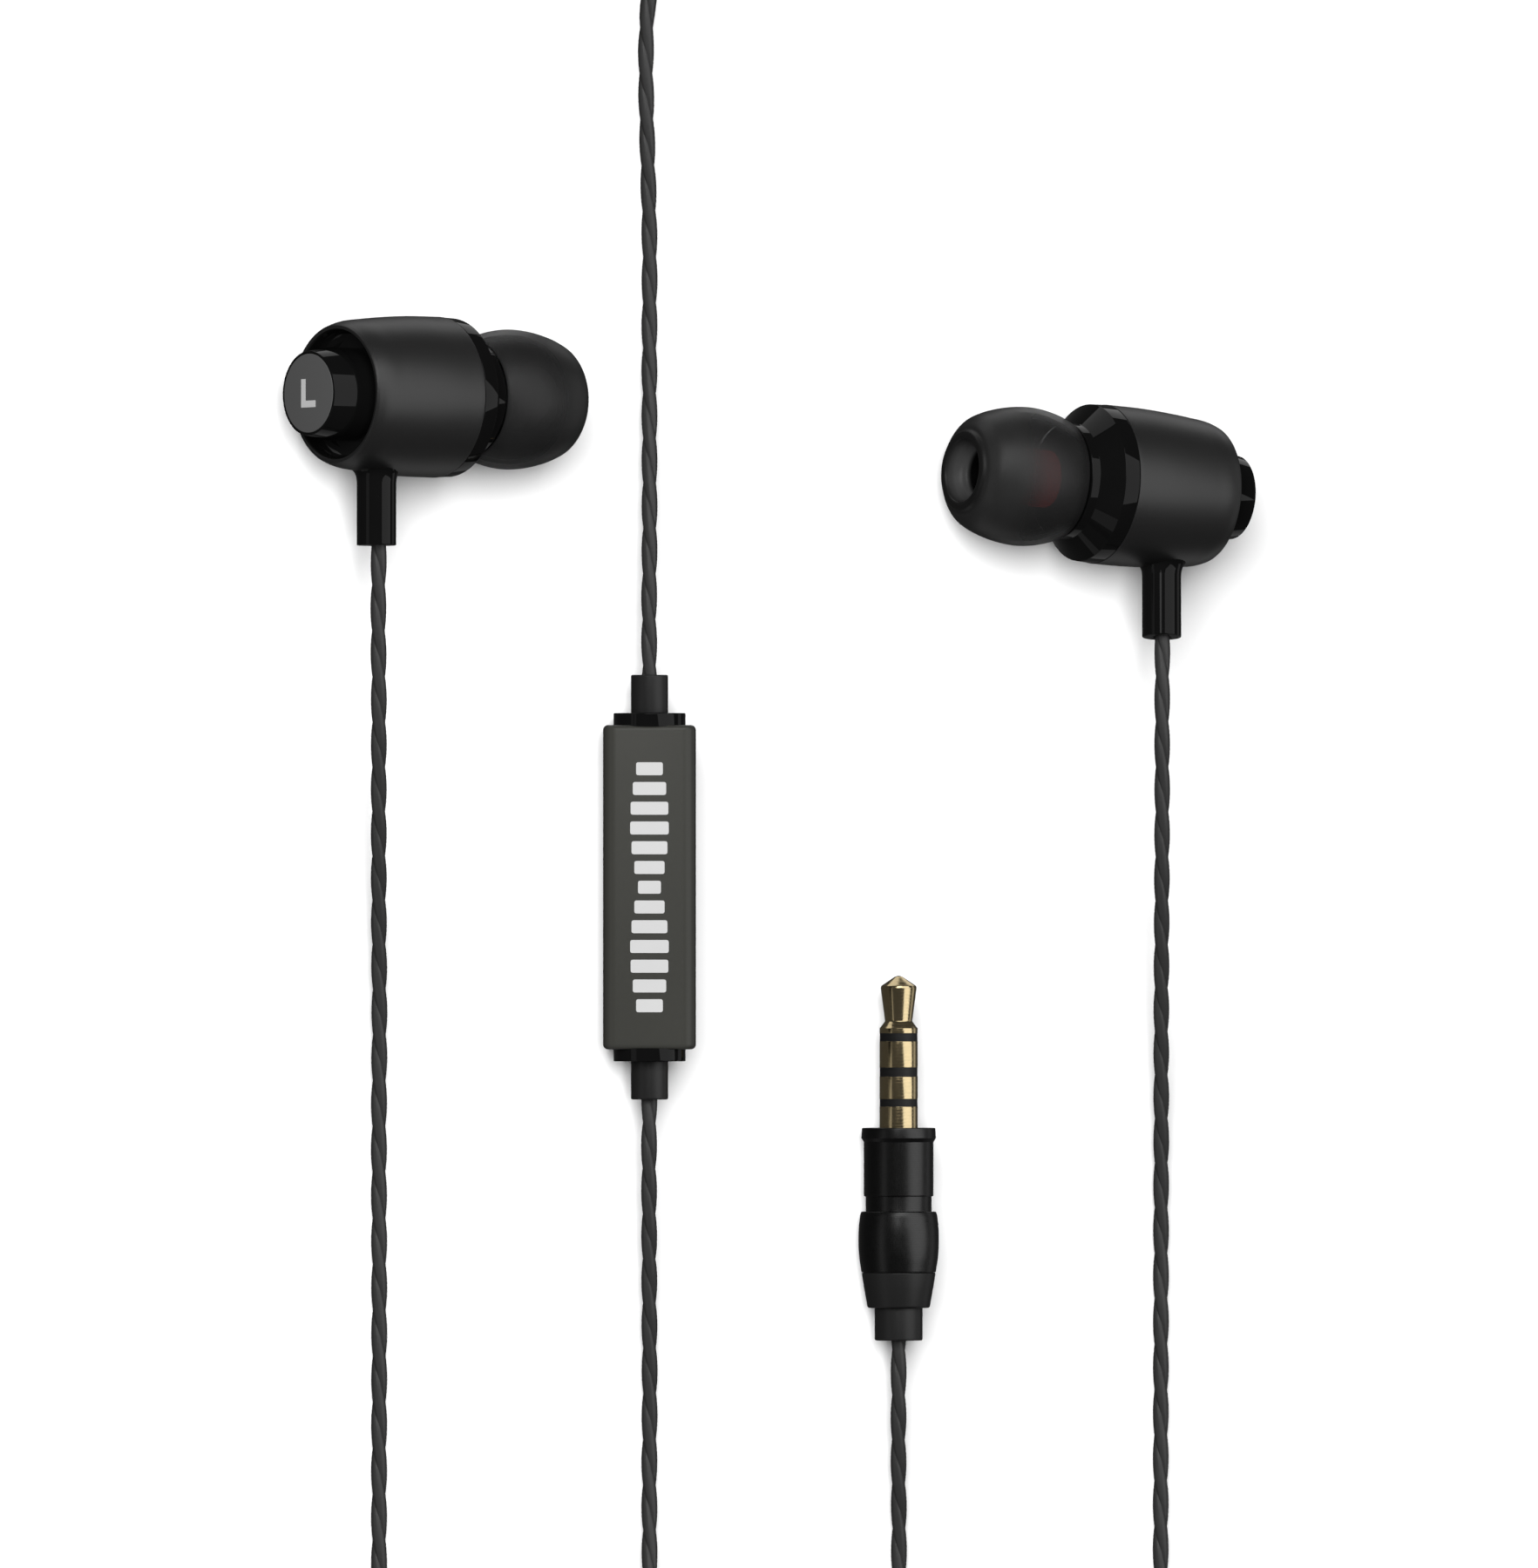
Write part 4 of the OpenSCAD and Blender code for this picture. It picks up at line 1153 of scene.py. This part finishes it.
class EARPHONES_OT_remote(bpy.types.Operator):
    """Make the remote's sleeve, its level bars, end plugs, sleeves, button and inner parts"""

    bl_idname = "earphones.remote"
    bl_label = "Remote"

    # Half its width and length, how far its face lies from its axis, and its rounded edges, in mm
    half_w, half_l, face, edge = 4.25, 14.85, 3.1, 1.25
    collar_l = 1.1
    # The button's slot and the microphone's hole, cut between two depths of the round back, in mm
    slot_half_w, slot_half_l = 1.25, 3.7
    hole_r, hole_y = 0.35, -9
    cut_depths = (-5, -2)

    def execute(self, context):
        colours = settings().colours
        matrix = remote_matrix()
        shell = satin_plastic("remote_satin", colours.remote, 0.3, 0.00009, 0.25)
        rubber = satin_plastic("relief_rubber", grey(0.007), 0.42)
        gloss = bpy.data.materials["polished_black"]
        self.body(matrix, shell)
        self.bars(matrix, bpy.data.materials["mark_ink"])
        for degrees, name in ((0, "top"), (180, "bottom")):
            end = turned(matrix, degrees)
            self.end_plug(end, name, gloss)
            self.relief(end, name, rubber)
        set_finish("remote_button", rubber)
        set_finish("remote_board", bpy.data.materials["board_mask"])
        set_finish("remote_switch", bpy.data.materials["driver_steel"])
        set_finish("remote_microphone", bpy.data.materials["driver_steel"])
        return {"FINISHED"}

    def section(self, inset):
        """Round back, straight sides, flat face between rounded edges."""
        half, face = self.half_w - inset, self.face - inset
        edge = max(self.edge - inset, 0.3)
        points = arc((0, 0), half, 180, 360, 36)
        points += arc((half - edge, face - edge), edge, 0, 90, 10)
        points += arc((-half + edge, face - edge), edge, 90, 180, 10)
        return points

    def body(self, matrix, material):
        wall, fillet = 0.8, 0.45
        stations = [(-self.half_l + 1.2, wall), (-self.half_l + 0.06, wall)]
        stations += [(-self.half_l + along, inset) for along, inset in rounded_end(fillet)]
        stations += [(-along, inset) for along, inset in stations[::-1]]
        rings = [(along, self.section(inset)) for along, inset in stations]
        piece = prism("remote_sleeve", rings, matrix, material, capped=False)
        cut(piece, prism("slot_tool", self.slot_rows(), matrix, material))
        hole = arc((0, self.hole_y), self.hole_r, 0, 345, 23)
        bm = bmesh.new()
        slab_into(bm, *self.flat_rows(matrix, hole, self.cut_depths))
        cut(piece, finish_mesh(bm, "hole_tool", material))
        dress(piece, ROOT, "remote_grey", "remote_body")

    def flat_rows(self, matrix, outline, depths):
        """The same outline across the remote at each depth, in metres."""
        return [[matrix @ (Vector((p.x, p.y, z)) * MM) for p in outline] for z in depths]

    def slot_rows(self, steps=24):
        """A slot with round ends, as sections across the remote."""
        straight = self.slot_half_l - self.slot_half_w
        deep, shallow = self.cut_depths
        rows = []
        for k in range(steps + 1):
            a = math.radians(-90 + 180 * k / steps)
            end = (a > 0) - (a < 0)
            y = straight * end + self.slot_half_w * math.sin(a)
            w = max(self.slot_half_w * math.cos(a), 0.01)
            rows.append((y, [(-w, deep), (w, deep), (w, shallow), (-w, shallow)]))
        return rows

    def bars(self, matrix, material):
        """Level bars down the flat face: a row of printed blocks that swell and shrink."""
        top, bottom, count, gap = 11.75, -11.75, 13, 0.62
        narrow, swell, corner, ink = 1.05, 0.72, 0.22, 0.02
        pitch = (top - bottom) / count
        bm = bmesh.new()
        for k in range(count):
            width = narrow + swell * abs(math.sin(math.pi * (k + 0.5) / count * 2))
            low = bottom + k * pitch + gap / 2
            high = low + pitch - gap
            shape = [(width, low), (width, high), (-width, high), (-width, low)]
            rounded = filleted([(x, y, corner) for x, y in shape], 4)
            slab_into(bm, *self.flat_rows(matrix, rounded, (self.face - ink, self.face + ink)))
        piece = finish_mesh(bm, "remote_level_bars", material)
        dress(piece, ROOT, "remote_grey")

    def end_plug(self, end, name, material):
        """The plug that closes the sleeve, with its round collar."""
        bm = bmesh.new()
        inside = 0.83
        rings = extrude_into(bm, [(self.half_l - 2, self.section(inside)),
                                  (self.half_l - 0.12, self.section(inside)),
                                  (self.half_l - 0.04, self.section(inside + 0.07))], end)
        bm.faces.new(rings[0])
        bm.faces.new(rings[-1])
        start, end_at = self.half_l - 0.1, self.half_l + self.collar_l
        outline = filleted([(1.25, start), (3.3, start), (3.3, end_at, 0.1), (1.25, end_at, 0.05)])
        lathe_into(bm, outline, turned(end, 90), 96)
        piece = finish_mesh(bm, f"remote_end_{name}", material)
        dress(piece, ROOT, "gloss_black", f"remote_cap_{name}")

    def relief(self, end, name, material):
        start = self.half_l + self.collar_l
        outline = [(0.75, self.half_l - 2.6), (1.9, self.half_l - 2.6), (1.9, self.half_l - 2.0),
                   (1.2, self.half_l - 2.0), (1.2, start), (1.7, start, 0.06), (1.7, start + 3.5, 0.16),
                   (0.9, start + 3.5, 0.06), (0.75, start + 3.3)]
        piece = lathe(f"remote_sleeve_{name}", outline, turned(end, 90), material, 96)
        dress(piece, ROOT, "relief_black", f"remote_relief_{name}")


class EARPHONES_OT_plug(bpy.types.Operator):
    """Make the plug: contacts, bands, grip, boot and sleeve"""

    bl_idname = "earphones.plug"
    bl_label = "Plug"

    def execute(self, context):
        colours = settings().colours
        matrix = plug_matrix()
        axis = own_axis(matrix)
        gold = turned_metal("plug_gold", colours.gold, 0.14, axis, matrix.translation, 0.0003)
        grip = turned_metal("turned_grip", colours.grip, 0.3, axis, matrix.translation)
        rubber = bpy.data.materials["relief_rubber"]
        black = bpy.data.materials["inner_plastic"]
        # Radii in mm: the pin, the core between contacts and at its bands, its bore and the pin's neck
        r, core_r, band_r, bore_r, neck_r = 1.75, 1.2, 1.73, 0.53, 1.45
        ring_r, grip_bore_r, relief_r = core_r + 0.03, 2.43, 1.35
        # Distances from the tip in mm: the bands, the grip's start, the pin's end, then each shell's end
        bands = ((5.3, 6.05), (8.45, 9.3), (11.35, 12.05))
        grip_start, pin_end, collar_end, boot_start, barrel_end, boot_end = 14, 16.2, 20.3, 24.3, 27.3, 30.55
        relief_end = boot_end + 3
        tip_end, front_start, front_end, rear_start, rear_end, sleeve_start = [e for b in bands for e in b]

        tip = [(0, 0), (0.35, 0.1, 0.2), (1.6, 0.95, 0.12), (1.65, 1.15, 0.1), (1.25, 4.2, 0.15),
               (1.62, 4.7, 0.08), (r, 4.85, 0.03), (r, tip_end, 0.02), (0.5, tip_end), (0.5, pin_end),
               (0, pin_end)]
        self.part("tip_contact", tip, matrix, gold, "gold", "plug_tip")
        front = self.band(ring_r, r, front_start, front_end)
        self.part("front_contact", front, matrix, gold, "gold", "plug_ring_front")
        rear = self.band(ring_r, r, rear_start, rear_end)
        self.part("rear_contact", rear, matrix, gold, "gold", "plug_ring_rear")
        sleeve = [(ring_r, sleeve_start), (r, sleeve_start, 0.03), (r, grip_start), (neck_r, grip_start),
                  (neck_r, 15), (2.4, 15), (2.4, 16), (ring_r, 16)]
        self.part("sleeve_contact", sleeve, matrix, gold, "gold", "plug_sleeve")
        edges = [point for start, end in bands
                 for point in ((core_r, start), (band_r, start), (band_r, end), (core_r, end))]
        core = [(bore_r, tip_end), *edges[1:], (core_r, pin_end), (bore_r, pin_end)]
        self.part("contact_bands", core, matrix, black, "dark_plastic", "plug_insulator")
        collar = [(neck_r + 0.03, grip_start), (3.38, grip_start, 0.12), (3.43, 14.95, 0.12),
                  (3.2, 15.3, 0.15), (3.2, collar_end, 0.12), (grip_bore_r, collar_end),
                  (grip_bore_r, 14.97), (neck_r + 0.03, 14.97)]
        self.part("grip_front", collar, matrix, grip, "grip_metal", "plug_collar")
        waist = 21.7
        barrel = [(grip_bore_r, collar_end), (3.03, collar_end), (3.03, waist, 0.04), (3.45, waist, 0.16)]
        barrel += curve_through([(3.55, 22.1), (3.67, 23.2), (3.7, 24.3), (3.62, 25.9), (3.44, 27.1)], 6)
        barrel += [(3.4, barrel_end, 0.08), (grip_bore_r, barrel_end)]
        self.part("grip_rear", barrel, matrix, grip, "grip_metal", "plug_barrel")
        boot = [(1.38, boot_start), (2.4, boot_start), (2.4, barrel_end), (3.4, barrel_end + 0.02, 0.1),
                (3.2, 28.6, 0.6), (2.85, boot_end, 0.25), (1.38, boot_end)]
        self.part("rubber_boot", boot, matrix, rubber, "relief_black", "plug_boot")
        relief = [(0.75, boot_start), (relief_r, boot_start), (relief_r, boot_end), (2.2, boot_end, 0.06),
                  (2.2, relief_end, 0.18), (0.95, relief_end, 0.06), (0.75, relief_end - 0.2)]
        self.part("plug_strain_sleeve", relief, matrix, rubber, "relief_black", "plug_relief")
        return {"FINISHED"}

    def band(self, inner, outer, start, end):
        return [(inner, start), (outer, start, 0.03), (outer, end, 0.03), (inner, end)]

    def part(self, name, outline, matrix, material, slot, node):
        dress(lathe(name, outline, matrix, material, 96), ROOT, slot, node)


class EARPHONES_OT_splitter(bpy.types.Operator):
    """Make the Y-piece where the two branches meet"""

    bl_idname = "earphones.splitter"
    bl_label = "Splitter"

    def execute(self, context):
        rubber = bpy.data.materials["relief_rubber"]
        matrix = splitter_matrix()
        length, fillet = 10.0, 0.5
        stations = [(-along, inset) for along, inset in rounded_end(fillet)]
        stations += [(-length - along, inset) for along, inset in stations[::-1]]
        rings = [(along, self.section(inset)) for along, inset in stations]
        piece = prism("y_piece", rings, matrix, rubber)
        dress(piece, ROOT, "relief_black", "splitter")
        spin = turned(matrix, 90)
        outline = [(0.75, -3), (0.97, -3), (0.97, 0), (1.3, 0), (1.3, 2.5, 0.15), (0.9, 2.5, 0.05),
                   (0.75, 2.3)]
        sleeve = lathe("y_piece_sleeve", outline, spin, rubber, 64)
        dress(sleeve, ROOT, "relief_black", "splitter_relief")
        return {"FINISHED"}

    def section(self, inset):
        r = 2.0 - inset
        return arc((1.2, 0), r, -90, 90, 20) + arc((-1.2, 0), r, 90, 270, 20)


class EARPHONES_PT_panel(bpy.types.Panel):
    """Lists the steps that build the earphones"""

    bl_label = "Earphones"
    bl_idname = "EARPHONES_PT_panel"
    bl_space_type = "VIEW_3D"
    bl_region_type = "UI"
    bl_category = "Earphones"

    def draw(self, context):
        for operator in OPERATORS:
            self.layout.operator(operator.bl_idname)
        for group in ("earphone", "cord", "colours", "stage"):
            box = self.layout.box()
            values = getattr(context.scene.earphones, group)
            for key in values.__annotations__:
                box.prop(values, key)


class EarphoneSettings(bpy.types.PropertyGroup):
    """Everything that a user may set."""

    earphone: PointerProperty(type=EarphoneSizes, name="Earphone", description="Sizes of one earphone")
    cord: PointerProperty(type=CordSizes, name="Cord", description="Sizes of the cord")
    colours: PointerProperty(type=FinishColours, name="Colours", description="Colours of the finishes")
    stage: PointerProperty(type=StageSettings, name="Stage", description="Camera, floor and lights")


OPERATORS = (
    EARPHONES_OT_stage,
    EARPHONES_OT_housings,
    EARPHONES_OT_nozzles,
    EARPHONES_OT_tips,
    EARPHONES_OT_remote,
    EARPHONES_OT_plug,
    EARPHONES_OT_splitter,
    EARPHONES_OT_cords,
)
CLASSES = (
    EarphoneSizes, CordSizes, FinishColours, StageSettings, EarphoneSettings, *OPERATORS, EARPHONES_PT_panel)


def register():
    for cls in CLASSES:
        bpy.utils.register_class(cls)
    bpy.types.Scene.earphones = PointerProperty(type=EarphoneSettings)


def unregister():
    del bpy.types.Scene.earphones
    for cls in reversed(CLASSES):
        bpy.utils.unregister_class(cls)


def main():
    register()
    for operator in OPERATORS:
        group, name = operator.bl_idname.split(".")
        getattr(getattr(bpy.ops, group), name)()


if __name__ == "__main__":
    main()
